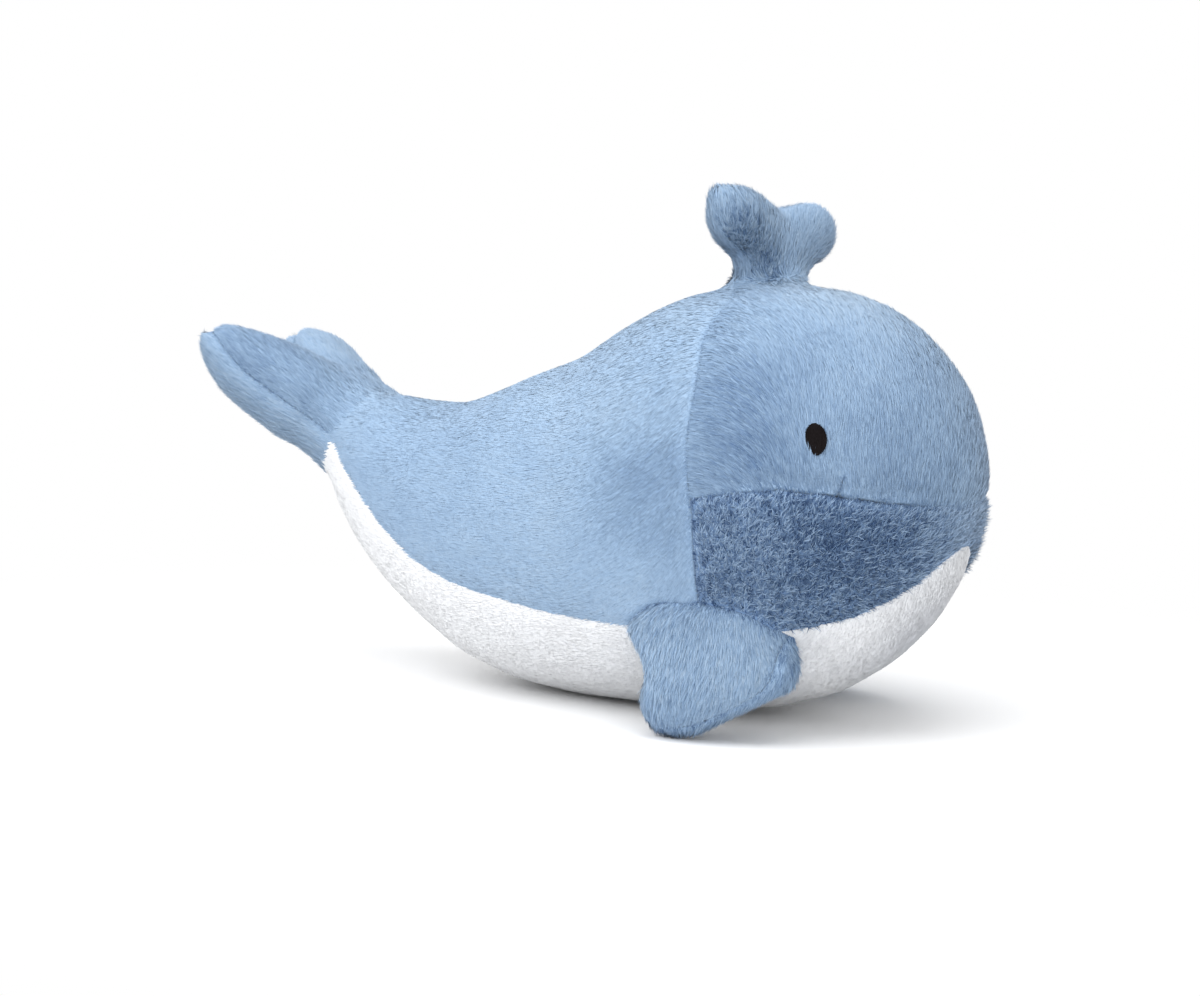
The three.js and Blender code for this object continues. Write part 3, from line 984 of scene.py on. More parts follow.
@dataclass
class PileMaker:
    """Grows tufts on a skin, each a flat closed spike laid along the nap.

    Attributes:
        clump: Size of a clump of tufts.
        contrast: How much clumps differ in tone.
        toss: How much they differ in their way.
        tilt: How far a tuft's broad side may turn off the skin.
        broad: A tuft's breadth along the skin, against its width.
        thin: Its thickness, against its width.
        lengths: The least and the greatest length, against the usual one.
        widths: The least and the greatest width, against the usual one.
        edge_tone: How much the tone changes across a tuft.
        tone_margin: Room left at the sides of the map.
        height_margin: Room left at its foot and its head.
    """

    clump: float = 2.0 * MM
    contrast: float = 5.0
    toss: float = 4.0
    tilt: float = 0.6
    broad: float = 1.25
    thin: float = 0.55
    lengths: tuple[float, float] = (0.75, 1.2)
    widths: tuple[float, float] = (0.8, 1.25)
    edge_tone: float = 0.012
    tone_margin: float = 0.02
    height_margin: float = 0.03

    def __post_init__(self) -> None:
        """Build the tree that all piles share."""
        self.tree = bpy.data.node_groups.new("laid_pile", "GeometryNodeTree")
        self._open("Skin", "Geometry")
        self.density = self._open("Density", "Float")
        self.seed = self._open("Seed", "Int")
        self._open("Pile", "Geometry", "OUTPUT")
        bench = Bench(self.tree)
        given = bench.make("NodeGroupInput")
        pile = self._mapped(bench, self._planted(bench, given))
        bench.make("NodeGroupOutput", None, {"Pile": pile})

    def _open(self, name: str, kind: str, way: str = "INPUT") -> str:
        """Give the tree a socket and return its key."""
        made = self.tree.interface.new_socket(name=name, in_out=way, socket_type=f"NodeSocket{kind}")
        return made.identifier

    @staticmethod
    def _random(bench: Bench, low: Value, high: Value, draw: Draw, kind: str = "FLOAT") -> Flow:
        """Give each tuft a chance value."""
        sockets = {"Min": low, "Max": high, "Seed": draw.value}
        return bench.make("FunctionNodeRandomValue", {"data_type": kind}, sockets, "Value")

    def _random_way(self, bench: Bench, most: float, draw: Draw) -> Flow:
        """Give each tuft a chance vector."""
        return self._random(bench, (-most,) * 3, (most,) * 3, draw, "FLOAT_VECTOR")

    @staticmethod
    def _stored(bench: Bench, geometry: Flow, name: str, value: Value, kind: str, domain: str) -> Flow:
        """Store a value under a name."""
        settings = {"data_type": kind, "domain": domain}
        sockets = {"Geometry": geometry, "Name": name, "Value": value}
        return bench.make("GeometryNodeStoreNamedAttribute", settings, sockets)

    def _spike(self, bench: Bench) -> Flow:
        """Make one tuft, a closed spike of unit size that knows its own width and height."""
        sizes = {"Vertices": SPIKE_POINTS - 1, "Radius Top": 0.0, "Radius Bottom": 1.0, "Depth": 1.0}
        spike = bench.make("GeometryNodeMeshCone", {"fill_type": "NGON"}, sizes, "Mesh")
        place = bench.make("GeometryNodeInputPosition")
        split = bench.make("ShaderNodeSeparateXYZ", None, {"Vector": place})
        wide = self._stored(bench, spike, "across", split, "FLOAT", "POINT")
        return self._stored(bench, wide, "upward", split.output("Z"), "FLOAT", "POINT")

    def _planted(self, bench: Bench, given: Flow) -> Flow:
        """Set tufts on the skin, each with its broad side to it and leaning along the nap."""
        density = given.output("Density") * bench.attribute("growth")
        sockets = {"Mesh": given.output("Skin"), "Density": density, "Seed": given.output("Seed")}
        points = bench.make("GeometryNodeDistributePointsOnFaces", None, sockets, "Points")
        clump = bench.attribute("clump")
        place = bench.make("GeometryNodeInputPosition")
        sockets = {"Vector": place, "Scale": 1.0 / self.clump, "Detail": 1.0}
        wave = bench.make("ShaderNodeTexNoise", None, sockets)
        own_tone = bench.attribute("chance") * self._random(bench, -1.0, 1.0, Draw.TONE)
        tone = bench.attribute("tone") + own_tone
        clump_tone = clump * (wave * self.contrast - self.contrast / 2.0)
        toned = self._stored(bench, points, "tone", tone + clump_tone, "FLOAT", "POINT")
        chance = self._random_way(bench, 1.0, Draw.WAY)
        stray = bench.vector("SCALE", {"Vector": chance, "Scale": bench.attribute("stray")})
        whirl = bench.vector("SUBTRACT", {0: wave.output("Color"), 1: (0.5, 0.5, 0.5)})
        tossed = bench.vector("SCALE", {"Vector": whirl, "Scale": clump * self.toss})
        strayed = bench.vector("ADD", {0: stray, 1: tossed})
        lean = bench.vector("ADD", {0: bench.attribute("lean", "FLOAT_VECTOR"), 1: strayed})
        tilt = self._random_way(bench, self.tilt, Draw.TILT)
        outward = bench.vector("ADD", {0: bench.attribute("skin_normal", "FLOAT_VECTOR"), 1: tilt})
        axes = {"primary_axis": "Z", "secondary_axis": "Y"}
        sockets = {"Primary Axis": lean, "Secondary Axis": outward}
        turn = bench.make("FunctionNodeAxesToRotation", axes, sockets)
        length = bench.attribute("length") * self._random(bench, *self.lengths, Draw.LENGTH)
        width = bench.attribute("width") * self._random(bench, *self.widths, Draw.WIDTH)
        size = {"X": width * self.broad, "Y": width * self.thin, "Z": length}
        scale = bench.make("ShaderNodeCombineXYZ", None, size)
        sockets = {"Points": toned, "Instance": self._spike(bench), "Rotation": turn, "Scale": scale}
        tufts = bench.make("GeometryNodeInstanceOnPoints", None, sockets)
        return bench.make("GeometryNodeRealizeInstances", None, {"Geometry": tufts})

    def _mapped(self, bench: Bench, pile: Flow) -> Flow:
        """Map each tuft: its tone across the map, its root to its tip up the map."""
        tone = bench.attribute("tone") + bench.attribute("across") * self.edge_tone
        sockets = {"Value": tone, "To Min": self.tone_margin, "To Max": 1.0 - self.tone_margin}
        across = bench.make("ShaderNodeMapRange", {"clamp": True}, sockets)
        upward = bench.attribute("upward") * (1.0 - 2.0 * self.height_margin) + self.height_margin
        place = bench.make("ShaderNodeCombineXYZ", None, {"X": across, "Y": upward})
        return self._stored(bench, pile, PILE_MAP, place, "FLOAT2", "CORNER")

    def grow(self, piece: bpy.types.Object, density: float, seed: int, softness: float) -> None:
        """Turn an object that holds a bare skin into its pile.

        Args:
            piece: The object, whose mesh carries the pile's attributes.
            density: Tufts on each square metre.
            seed: Sets the chance values.
            softness: How far each tuft takes the light as the skin under it does, from 0 to 1.
        """
        grower = piece.modifiers.new("pile", "NODES")
        grower.node_group = self.tree
        grower[self.density] = density
        grower[self.seed] = seed
        piece.update_tag()
        mesh = applied(piece)
        soft = unit(kept(mesh, "skin_normal") * softness + normals_of(mesh) * (1.0 - softness))
        drop(mesh, (*BRUSHED, *SPIKE))
        mesh.shade_smooth()
        mesh.normals_split_custom_set_from_vertices(soft)


@dataclass(frozen=True)
class Grooming:
    """How pile behaves, and where shade is painted on it, at a seam, at a crease and where another form
    lies against it.

    Attributes:
        seam_dark: Reach of the darker pile along a seam.
        seam_bare: Reach of the sheared pile along a seam.
        crease_dark: Reach of the darker pile along a crease.
        crease_bare: Reach of the sheared pile along a crease.
        crease_sheared: How far it is sheared there.
        crease_length: Length of the tufts in a crease.
        back_dark: Reach of the darker backing along both.
        back_shade: How much darker the backing gets than the pile.
        back_most: The darkest that it gets.
        touch_dark: Reach of the darker pile where another form lies against it.
        touch_shade: How much darker it gets there.
        touch_length: Length of the tufts there.
        touch_sunk: How far inside another form tufts still grow.
        growing: How fast tufts get longer away from all of these.
        weak_length: Length of the tufts at a seam that has run out, against the usual one.
        swirl: How far the nap strays from place to place.
        lifts: The least and the greatest lift.
    """

    # seam_dark: Reach of the painted shade on the pile along a seam.
    seam_dark: float = 1.3 * MM
    seam_bare: float = 0.8 * MM
    # crease_dark: Reach of the painted shade on the pile along a crease.
    crease_dark: float = 1.4 * MM
    crease_bare: float = 2.0 * MM
    crease_sheared: float = 0.9
    crease_length: float = 0.8 * MM
    # back_dark: Reach of the painted shade on the backing along both.
    back_dark: float = 1.0 * MM
    # back_shade: How much darker the backing is painted than the pile.
    back_shade: float = 1.6
    # back_most: The darkest that this painted shade gets.
    back_most: float = 0.9
    # touch_dark: Reach of the painted shadow on the pile where another form lies against it.
    touch_dark: float = 2.0 * MM
    # touch_shade: How much darker that painted shadow is.
    touch_shade: float = 0.35
    touch_length: float = 1.8 * MM
    touch_sunk: float = 1.0 * MM
    growing: float = 0.9
    weak_length: float = 0.6
    swirl: float = 0.3
    lifts: tuple[float, float] = (0.16, 0.98)


@dataclass
class Wadding:
    """Loose fill.

    Attributes:
        node: The CAD node that it stands for.
        body: The body that it rides on.
        grid: The grid that its lumps are woven on.
        sink: How far it stays inside its solid.
        lump: Height of a lump.
        rounds: Rounds of smoothing.
    """

    node: str
    body: str
    grid: float
    sink: float = 3.0 * MM
    lump: float = 1.2 * MM
    rounds: int = 4

    def build(self) -> None:
        """Make the fill."""
        wadding = woven(self.node.replace("_fill", "_wadding"), solids([self.node]), self.grid)
        mesh = wadding.data
        smooth(mesh, self.rounds)
        points = points_of(mesh)
        inward = self.sink + self.lump * LUMPY.at(points)
        set_points(mesh, points - normals_of(mesh) * inward[:, None])
        mesh.shade_smooth()
        mesh.materials.clear()
        mesh.materials.append(material_of(FIBRE, "wadding"))
        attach(wadding, self.body)
        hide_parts(self.node)


@dataclass
class StuffedForm:
    """A stuffed form: panels sewn into one skin, blown out by its fill, then covered in pile.

    Attributes:
        name: The form's name.
        panels: Its panels.
        fills: The CAD nodes of its fill, with the body that each rides on.
        seams: How the seams between panels draw in, by their nodes.
        roots: The limbs that are sewn on.
        creases: Short puckers.
        eases: Where the skin runs smoothly on into a limb.
        tucks: Where the skin is pushed or pulled.
        turned: Where a seam is sewn beside the solids' own line, such as at a turned edge.
        dents: Depth of the soft dents that fill leaves.
        voxel: The first cloth's grid.
        rounds: Rounds of smoothing.
        limb_rounds: Rounds of smoothing on the limbs.
        evening: Rounds of evening out the size given back, for each round of smoothing.
        pile_depth: Room left for the pile outside the skin.
        tuft_length: Length of a tuft.
        tuft_width: Radius of a tuft at its root.
        density: Tufts on each square metre.
        pressure: Pressure of the stuffing.
        steps: Steps of the stuffing's simulation.
        give: How far the stuffing may push the cloth.
        seam_reach: How far from a seam the skin dips.
        crease_reach: How far from a crease it dips, against a seam.
        seam_hold: How near to a seam, with 1 on it, the thread holds the cloth.
        seam_slide: How far a point may slide onto a seam, against the grid.
        backing_thick: Thickness of the backing.
        fill_grid: The fill's grid, against the cloth's.
        most_tufts: Most tufts in one piece of pile.
        clear: What counts as clear of the other forms.
        search: How far to look for them.
        care: How the pile behaves where it is held.
    """

    name: str
    panels: Sequence[Panel]
    fills: Mapping[str, str]
    seams: Mapping[frozenset[str], Seam]
    roots: Sequence[Root] = ()
    creases: Sequence[Crease] = ()
    eases: Sequence[Ease] = ()
    tucks: Sequence[Tuck] = ()
    turned: Sequence[Tuck] = ()
    dents: float = 0.5 * MM
    voxel: float = 4.2 * MM
    rounds: int = 14
    limb_rounds: int = 5
    evening: int = 3
    pile_depth: float = 2.0 * MM
    tuft_length: float = 5.4 * MM
    tuft_width: float = 0.31 * MM
    density: float = 1.42e6
    pressure: float = 4.0
    steps: int = 20
    give: float = 2.5 * MM
    seam_reach: float = 4.0 * MM
    crease_reach: float = 0.6
    seam_hold: float = 0.5
    seam_slide: float = 0.35
    backing_thick: float = 1.0 * MM
    fill_grid: float = 2.0
    most_tufts: int = 46000
    clear: float = 0.05
    search: float = 0.03
    care: Grooming = Grooming()
    skin: bpy.types.Object | None = field(default=None, init=False)

    def shape(self) -> None:
        """Make the form's skin."""
        self._sew()
        self._draw_in()
        self._stuff()
        self._refine()
        mesh = self.skin.data
        proud = np.sum((points_of(mesh) - kept(mesh, "outside")) * normals_of(mesh), axis=1)
        LOG.info("%s: skin %.2f mm out from its solids", self.name, proud.mean() / MM)

    def dress(self, maker: PileMaker, others: Sequence[BVHTree]) -> None:
        """Make the form's backings, piles and fill.

        Args:
            maker: Grows the pile.
            others: The skins of the other forms.
        """
        distances, places = self._distances()
        labels = self._fit_seams(distances, places)
        sunk = self._sunk(others)
        for index, panel in enumerate(self.panels):
            self._brush(index, panel, distances, sunk)
            self._back(index, panel, labels)
            self._cover(maker, index, panel, labels)
        bpy.data.objects.remove(self.skin)
        for node, body in self.fills.items():
            Wadding(node, body, self.fill_grid * self.voxel).build()

    def _sew(self) -> None:
        """Join the panels and the fill into one smooth skin, a pile's depth inside them."""
        bm = solids([*(p.node for p in self.panels), *self.fills])
        for root in self.roots:
            bmesh.ops.create_uvsphere(bm, u_segments=32, v_segments=16, radius=1.0, matrix=root.matrix())
        self.skin = woven(f"{self.name}_skin", bm, self.voxel)
        mesh = self.skin.data
        bm = opened(mesh)
        largest_shell(bm)
        put_back(bm, mesh)
        rough = points_of(mesh)
        found = np.stack([nearest(rough, tree)[0] for tree in self._panel_trees()], axis=1).argmin(axis=1)
        on_limb = np.array([panel.bend is not None for panel in self.panels])[found]
        smooth(mesh, self.limb_rounds)
        smooth(mesh, self.rounds - self.limb_rounds, ~on_limb)
        points, normals = points_of(mesh), normals_of(mesh)
        shrunk = np.sum((rough - points) * normals, axis=1)
        points += normals * evened(shrunk, edges_of(mesh), self.evening * self.rounds)[:, None]
        set_points(mesh, points)
        for ease in self.eases:
            ease.apply(mesh)
        points = points_of(mesh)
        keep(mesh, "outside", points)
        inward = self.pile_depth + self.dents * DENTED.at(points)
        set_points(mesh, points - normals_of(mesh) * inward[:, None])
        for tuck in self.tucks:
            set_points(mesh, tuck.moved(points_of(mesh)))

    def _panel_trees(self) -> list[BVHTree]:
        """Give each panel's surface."""
        return [tree_of(frame["nodes"][panel.node].data) for panel in self.panels]

    def _distances(self) -> tuple[np.ndarray, np.ndarray]:
        """Measure how far each point of the skin is from each panel.

        Returns:
            Distances by point and panel, and the nearest places.
        """
        sewn = self._sewn_places()
        distances, places = zip(*(nearest(sewn, tree) for tree in self._panel_trees()))
        return np.stack(distances, axis=1), np.stack(places, axis=1)

    def _sewn_places(self) -> np.ndarray:
        """Give the place on the solids that sets the panel of each point of the skin."""
        places = kept(self.skin.data, "outside")
        for turn in self.turned:
            places = turn.moved(places)
        return places

    def _seam(self, first: Panel, second: Panel) -> Seam:
        """Give the seam between two panels."""
        return self.seams.get(frozenset((first.node, second.node)), ROOT_SEAM)

    def _draw_in(self) -> None:
        """Draw the skin in along its seams and creases, and mark what the thread holds."""
        mesh = self.skin.data
        outside = kept(mesh, "outside")
        distances, _ = self._distances()
        order = np.argsort(distances, axis=1)
        near = fading(distances[np.arange(len(order)), order[:, 1]], self.seam_reach)
        depths = np.zeros(len(order))
        for a, first in enumerate(self.panels):
            for b, second in enumerate(self.panels):
                between = (order[:, 0] == a) & (order[:, 1] == b)
                seam = self._seam(first, second)
                depths[between] = (near * seam.depth * seam.strength(outside))[between]
        for crease in self.creases:
            depths += crease.depth * fading(crease.away(outside), self.crease_reach * self.seam_reach)
        set_points(mesh, points_of(mesh) - normals_of(mesh) * depths[:, None])
        held = self.skin.vertex_groups.new(name="held")
        held.add([int(i) for i in np.nonzero(near > self.seam_hold)[0]], 1.0, "REPLACE")

    def _stuff(self) -> None:
        """Blow the skin out against its seams by a cloth simulation, and keep the result."""
        start = points_of(self.skin.data)
        cloth = self.skin.modifiers.new("stuffing", "CLOTH")
        cloth.settings.quality = 5
        cloth.settings.mass = 0.3
        cloth.settings.tension_stiffness = 20.0
        cloth.settings.compression_stiffness = 20.0
        cloth.settings.bending_stiffness = 2.0
        cloth.settings.use_pressure = True
        cloth.settings.uniform_pressure_force = self.pressure
        cloth.settings.vertex_group_mass = "held"
        cloth.settings.effector_weights.gravity = 0.0
        cloth.collision_settings.use_collision = False
        cloth.point_cache.frame_start = 1
        cloth.point_cache.frame_end = self.steps
        scene = bpy.context.scene
        for step in range(1, self.steps + 1):
            scene.frame_set(step)
        blown = points_of(applied(self.skin))
        scene.frame_set(1)
        moved = blown - start
        far = np.linalg.norm(moved, axis=1, keepdims=True)
        set_points(self.skin.data, start + moved * np.minimum(1.0, self.give / np.maximum(far, TINY)))
        LOG.info("%s: the stuffing moved the skin by up to %.1f mm", self.name, far.max() / MM)

    def _refine(self) -> None:
        """Subdivide the skin once."""
        finer = self.skin.modifiers.new("finer", "SUBSURF")
        finer.levels = finer.render_levels = 1
        applied(self.skin)

    def _fit_seams(self, distances: np.ndarray, places: np.ndarray) -> np.ndarray:
        """Give each face to a panel, and move the points between panels onto the seam.

        Args:
            distances: Distances by point and panel.
            places: The nearest places.

        Returns:
            Each face's panel.
        """
        mesh = self.skin.data
        points, normals = points_of(mesh), normals_of(mesh)
        keep(mesh, "skin_normal", normals)
        outside, sewn = kept(mesh, "outside"), self._sewn_places()
        limit = self.seam_slide * self.voxel
        bm = opened(mesh)
        labels = np.array([distances[[v.index for v in f.verts]].sum(axis=0).argmin() for f in bm.faces])
        for vert in bm.verts:
            around = sorted({int(labels[f.index]) for f in vert.link_faces})
            if len(around) < 2:
                continue
            row = vert.index
            own = min(around, key=lambda a: distances[row, a])
            steps = [places[row, a] - sewn[row] for a in around if a != own]
            step = along_skin(np.mean(steps, axis=0)[None], normals[row][None])[0]
            points[row] += step * min(1.0, limit / max(np.linalg.norm(step), TINY))
        bm.free()
        for crease in self.creases:
            step = along_skin(crease.on(outside) - outside, normals)
            near = (np.linalg.norm(step, axis=1) < limit) & (crease.away(outside) < self.voxel)
            points[near] += step[near]
        set_points(mesh, points)
        return labels

    def _sunk(self, others: Sequence[BVHTree]) -> np.ndarray:
        """Measure how far each point lies outside the other forms, less than 0 inside one."""
        points = points_of(self.skin.data)
        least = np.full(len(points), self.clear)
        for tree in others:
            for row, point in enumerate(points):
                place, normal, _, away = tree.find_nearest(Vector(point), self.search)
                if place is not None:
                    inside = (Vector(point) - place).dot(normal) < 0.0
                    least[row] = min(least[row], -away if inside else away)
        return least

    def _panel_mesh(self, name: str, chosen: np.ndarray) -> bpy.types.Mesh:
        """Copy the chosen faces of the skin, with what its points carry.

        Args:
            name: The new mesh's name.
            chosen: Whether each face is in it.

        Returns:
            The new mesh.
        """
        bm = opened(self.skin.data)
        bm.faces.ensure_lookup_table()
        lost = [bm.faces[int(i)] for i in np.nonzero(~chosen)[0]]
        bmesh.ops.delete(bm, geom=lost, context="FACES")
        return to_mesh(name, bm)

    def _back(self, index: int, panel: Panel, labels: np.ndarray) -> None:
        """Make one panel's backing, a closed shell.

        Args:
            index: The panel's place.
            panel: The panel.
            labels: Each face's panel.
        """
        name = panel.node.replace("_panel", "_backing")
        backing = new_object(name, self._panel_mesh(name, labels == index))
        drop(backing.data, [kind for kind in BRUSHED if kind != "groove_shade"])
        wall = backing.modifiers.new("wall", "SOLIDIFY")
        wall.thickness = self.backing_thick
        wall.offset = -1.0
        applied(backing)
        backing.data.materials.append(material_of(panel.finish, "backing"))
        panel.attach(backing)
        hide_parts(panel.node)

    def _cover(self, maker: PileMaker, index: int, panel: Panel, labels: np.ndarray) -> None:
        """Make one panel's pile, in bands from the nose back where it is large.

        Args:
            maker: Grows the pile.
            index: The panel's place.
            panel: The panel.
            labels: Each face's panel.
        """
        faces = self.skin.data.polygons
        middles = np.array([p.center for p in faces])
        areas = np.array([p.area for p in faces])
        own = np.nonzero(labels == index)[0]
        density = self.density * panel.density
        count = math.ceil(areas[own].sum() * density / self.most_tufts)
        bands = np.array_split(own[np.argsort(-middles[own, 0], kind="stable")], count)
        for number, band in enumerate(bands, 1):
            chosen = np.zeros(len(labels), bool)
            chosen[band] = True
            name = panel.node.replace("_panel", "_pile") + (f"_{number}" if count > 1 else "")
            pile = new_object(name, self._panel_mesh(name, chosen))
            maker.grow(pile, density, number + SEEDS_PER_PANEL * index, panel.softness)
            pile.data.materials.clear()
            pile.data.materials.append(material_of(panel.finish, "pile"))
            panel.attach(pile)
            LOG.info("%s: %d tufts", name, len(pile.data.vertices) // SPIKE_POINTS)

    def _brush(self, index: int, panel: Panel, distances: np.ndarray, sunk: np.ndarray) -> None:
        """Work out how one panel's pile lies at each point of the skin.

        Args:
            index: The panel's place.
            panel: The panel.
            distances: Distances by point and panel.
            sunk: Distance outside the other forms.
        """
        mesh, care = self.skin.data, self.care
        points, normals = points_of(mesh), kept(mesh, "skin_normal")
        rows, above = np.arange(len(points)), np.maximum(sunk, 0.0)
        others = distances.copy()
        others[:, index] = np.inf
        neighbour = others.argmin(axis=1)
        to_seam = others[rows, neighbour]
        seams = [self._seam(panel, p) for p in self.panels]
        strength = np.stack([s.strength(points) for s in seams], axis=1)[rows, neighbour]
        shade = np.array([s.shade for s in seams])[neighbour] * strength
        bare = np.array([s.bare for s in seams])[neighbour] * strength
        overhang = np.array([s.overhang for s in seams])[neighbour]
        # Painted shade on the backing along a seam.
        groove_shade = care.back_shade * shade * fading(to_seam, care.back_dark)
        tone = panel.tone + panel.mottle * (MOTTLED.at(points) + FLECKED.at(points))
        # Painted shade on the pile in a seam's dip.
        tone -= shade * fading(to_seam, care.seam_dark)
        # Painted shadow where another form lies against the pile.
        tone -= care.touch_shade * fading(above, care.touch_dark)
        lift = panel.lift + RUFFLED.at(points)
        clump = np.full(len(points), panel.clump)
        weak = care.weak_length * self.tuft_length * (1.0 - strength)
        length = np.minimum(self.tuft_length, overhang + care.growing * to_seam + weak)
        length = np.minimum(length, care.touch_length + care.growing * above)
        for patch in panel.patches:
            near = fading(from_place(points, patch.place), patch.radius)
            tone += patch.tone * near
            lift += patch.lift * near
            clump += patch.clump * near
        for crease in self.creases:
            away = crease.away(kept(mesh, "outside"))
            # Painted shade in the crease, on the pile and on the backing.
            tone -= crease.shade * fading(away, care.crease_dark)
            length = np.minimum(length, care.crease_length + care.growing * away)
            groove_shade += care.back_shade * crease.shade * fading(away, care.back_dark)
            to_seam = np.minimum(to_seam, away)
            bare = np.maximum(bare, care.crease_sheared * (away < care.crease_bare))
        swirl = np.stack([cloud.at(points) for cloud in SWIRLED], axis=1)
        lay = unit(along_skin(panel.nap.at(points), normals)) + care.swirl * along_skin(swirl, normals)
        lift = np.clip(lift, *care.lifts)[:, None]
        keep(mesh, "lean", unit(unit(lay) * np.sqrt(1.0 - lift**2) + normals * lift))
        keep(mesh, "stray", np.full(len(points), panel.stray))
        keep(mesh, "chance", np.full(len(points), panel.chance))
        keep(mesh, "clump", np.maximum(clump, 0.0))
        keep(mesh, "groove_shade", np.clip(groove_shade, 0.0, care.back_most))
        keep(mesh, "growth", self._growth(points, to_seam, bare) * (sunk > -care.touch_sunk))
        keep(mesh, "width", np.full(len(points), self.tuft_width * panel.width))
        keep(mesh, "length", length * panel.length)
        keep(mesh, "tone", tone)

    def _growth(self, points: np.ndarray, to_seam: np.ndarray, bare: np.ndarray) -> np.ndarray:
        """Say how thick the pile grows at each point: thin in a seam."""
        return 1.0 - bare * fading(to_seam, self.care.seam_bare)


@dataclass
class Eye:
    """A dark oval in satin stitch.

    Attributes:
        node: The CAD node that it stands for.
        side: -1 on the right, 1 on the left.
        width: Its width.
        height: Its height.
        lean: How far its top leans towards the tail, in degrees.
        taper: How much wider its top is than its foot.
        threads: How many threads lie across it.
        sink: How deep its rim lies under the CAD node's outside.
        crown: How far its middle stands above its rim.
        pad: Half the size of the pad under the threads, against the oval's.
        pad_crown: Height of the pad, against the crown.
        thread_half: Half a thread's width, against the threads' spacing.
        thread_thick: Half a thread's thickness at the rim.
        thread_crown: How much thicker it is in the middle, against the crown.
        ragged: How much the threads differ in length.
        wander: How far they lie out of line, against the oval's width.
        thread_lift: How far they lie above the rim.
        bare: Where the pile starts outside the oval, 1 being its rim.
        bare_edge: How fast the pile gets thick from there.
        bare_depth: How far under and over the rim pile counts as being at the oval.
        facing: How far a face of the node has to look sideways to count as its outside.
        above: How far out the search for that outside starts.
    """

    node: str
    side: int
    width: float = 12.0 * MM
    height: float = 16.5 * MM
    lean: float = 11.0
    taper: float = 0.22
    threads: int = 34
    sink: float = 2.2 * MM
    crown: float = 1.4 * MM
    pad: float = 0.48
    pad_crown: float = 0.8
    thread_half: float = 0.72
    thread_thick: float = 0.35 * MM
    thread_crown: float = 0.75
    ragged: float = 0.08
    wander: float = 0.06
    thread_lift: float = 0.1 * MM
    bare: float = 0.85
    bare_edge: float = 4.0
    bare_depth: float = 0.02
    facing: float = 0.3
    above: float = 0.05

    def matrix(self) -> Matrix:
        """Give the oval's own axes: across, up and outward."""
        mesh = frame["nodes"][self.node].data
        outward = Vector()
        for face in mesh.polygons:
            if face.normal.y * self.side > self.facing:
                outward += face.normal * face.area
        outward.normalize()
        low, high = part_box(self.node)
        middle = (low + high) / 2.0
        tree = BVHTree.FromPolygons([v.co for v in mesh.vertices], [p.vertices for p in mesh.polygons])
        surface = tree.ray_cast(middle + outward * self.above, -outward)[0]
        lean = math.radians(self.lean)
        up = Vector((-math.sin(lean), 0.0, math.cos(lean)))
        across = up.cross(outward).normalized()
        up = outward.cross(across)
        turn = Matrix((across, up, outward)).transposed().to_4x4()
        return Matrix.Translation(surface - outward * self.sink) @ turn

    def room(self, points: np.ndarray) -> np.ndarray:
        """Say how thick the pile may grow at each point: not at all under the oval."""
        local = np.array(self.matrix().inverted()) @ np.c_[points, np.ones(len(points))].T
        far = np.hypot(local[0] / (self.width / 2.0), local[1] / (self.height / 2.0))
        far = np.where(np.abs(local[2]) < self.bare_depth, far, np.inf)
        return np.clip((far - self.bare) * self.bare_edge, 0.0, 1.0)

    def _thread(self, number: int) -> Matrix:
        """Place a unit sphere as one thread, counted from the foot."""
        pitch = self.height / self.threads
        up = (number + 0.5) * pitch - self.height / 2.0
        span = math.sqrt(1.0 - (2.0 * up / self.height) ** 2)
        uneven = noise.noise(Vector((number * 0.9, self.side * 3.0, 0.0)))
        shift = self.wander * self.width * noise.noise(Vector((number * 0.7, 5.0, self.side)))
        half = self.width / 2.0 * span * (1.0 + self.taper * up / self.height + self.ragged * uneven)
        thick = self.thread_thick + self.crown * span * self.thread_crown
        size = Matrix.Diagonal((half, pitch * self.thread_half, thick, 1.0))
        return Matrix.Translation((shift, up, self.thread_lift)) @ size

    def build(self) -> None:
        """Lay the threads side by side over a low pad."""
        bm = bmesh.new()
        place = self.matrix()
        size = (self.width * self.pad, self.height * self.pad, self.crown * self.pad_crown, 1.0)
        pad = place @ Matrix.Diagonal(size)
        bmesh.ops.create_uvsphere(bm, u_segments=24, v_segments=12, radius=1.0, matrix=pad)
        for number in range(self.threads):
            lay = place @ self._thread(number)
            bmesh.ops.create_uvsphere(bm, u_segments=8, v_segments=6, radius=1.0, matrix=lay)
        stitched = new_object(self.node.replace("_eye", "_eye_stitches"), to_mesh(self.node, bm))
        stitched.data.materials.append(material_of(THREAD, "thread"))
        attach(stitched, "body")
        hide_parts(self.node)
        LOG.info("%s: %d threads", stitched.name, self.threads)


@dataclass
class Body(StuffedForm):
    """The body, whose pile leaves room for the eyes.

    Attributes:
        eyes: The stitched eyes.
    """

    eyes: Sequence[Eye] = ()

    def _growth(self, points: np.ndarray, to_seam: np.ndarray, bare: np.ndarray) -> np.ndarray:
        """Say how thick the pile grows at each point: thin in a seam, bare under an eye."""
        growth = super()._growth(points, to_seam, bare)
        for eye in self.eyes:
            growth *= eye.room(points)
        return growth


@dataclass(frozen=True)
class Lamp:
    """A soft square lamp.

    Attributes:
        name: Its name.
        place: Where it hangs.
        size: The length of its side.
        share: Its strength against the main lamp's.
    """

    name: str
    place: Point
    size: float
    share: float = 1.0

    def hang(self, key: float, aim: Point) -> None:
        """Hang the lamp, turned to a point, with the main lamp's strength given in watts."""
        data = bpy.data.lights.new(self.name, "AREA")
        data.size = self.size
        data.energy = self.share * key
        lamp = bpy.data.objects.new(self.name, data)
        turn = (Vector(aim) - Vector(self.place)).to_track_quat("-Z", "Y").to_matrix().to_4x4()
        lamp.matrix_world = Matrix.Translation(self.place) @ turn
        bpy.context.scene.collection.objects.link(lamp)


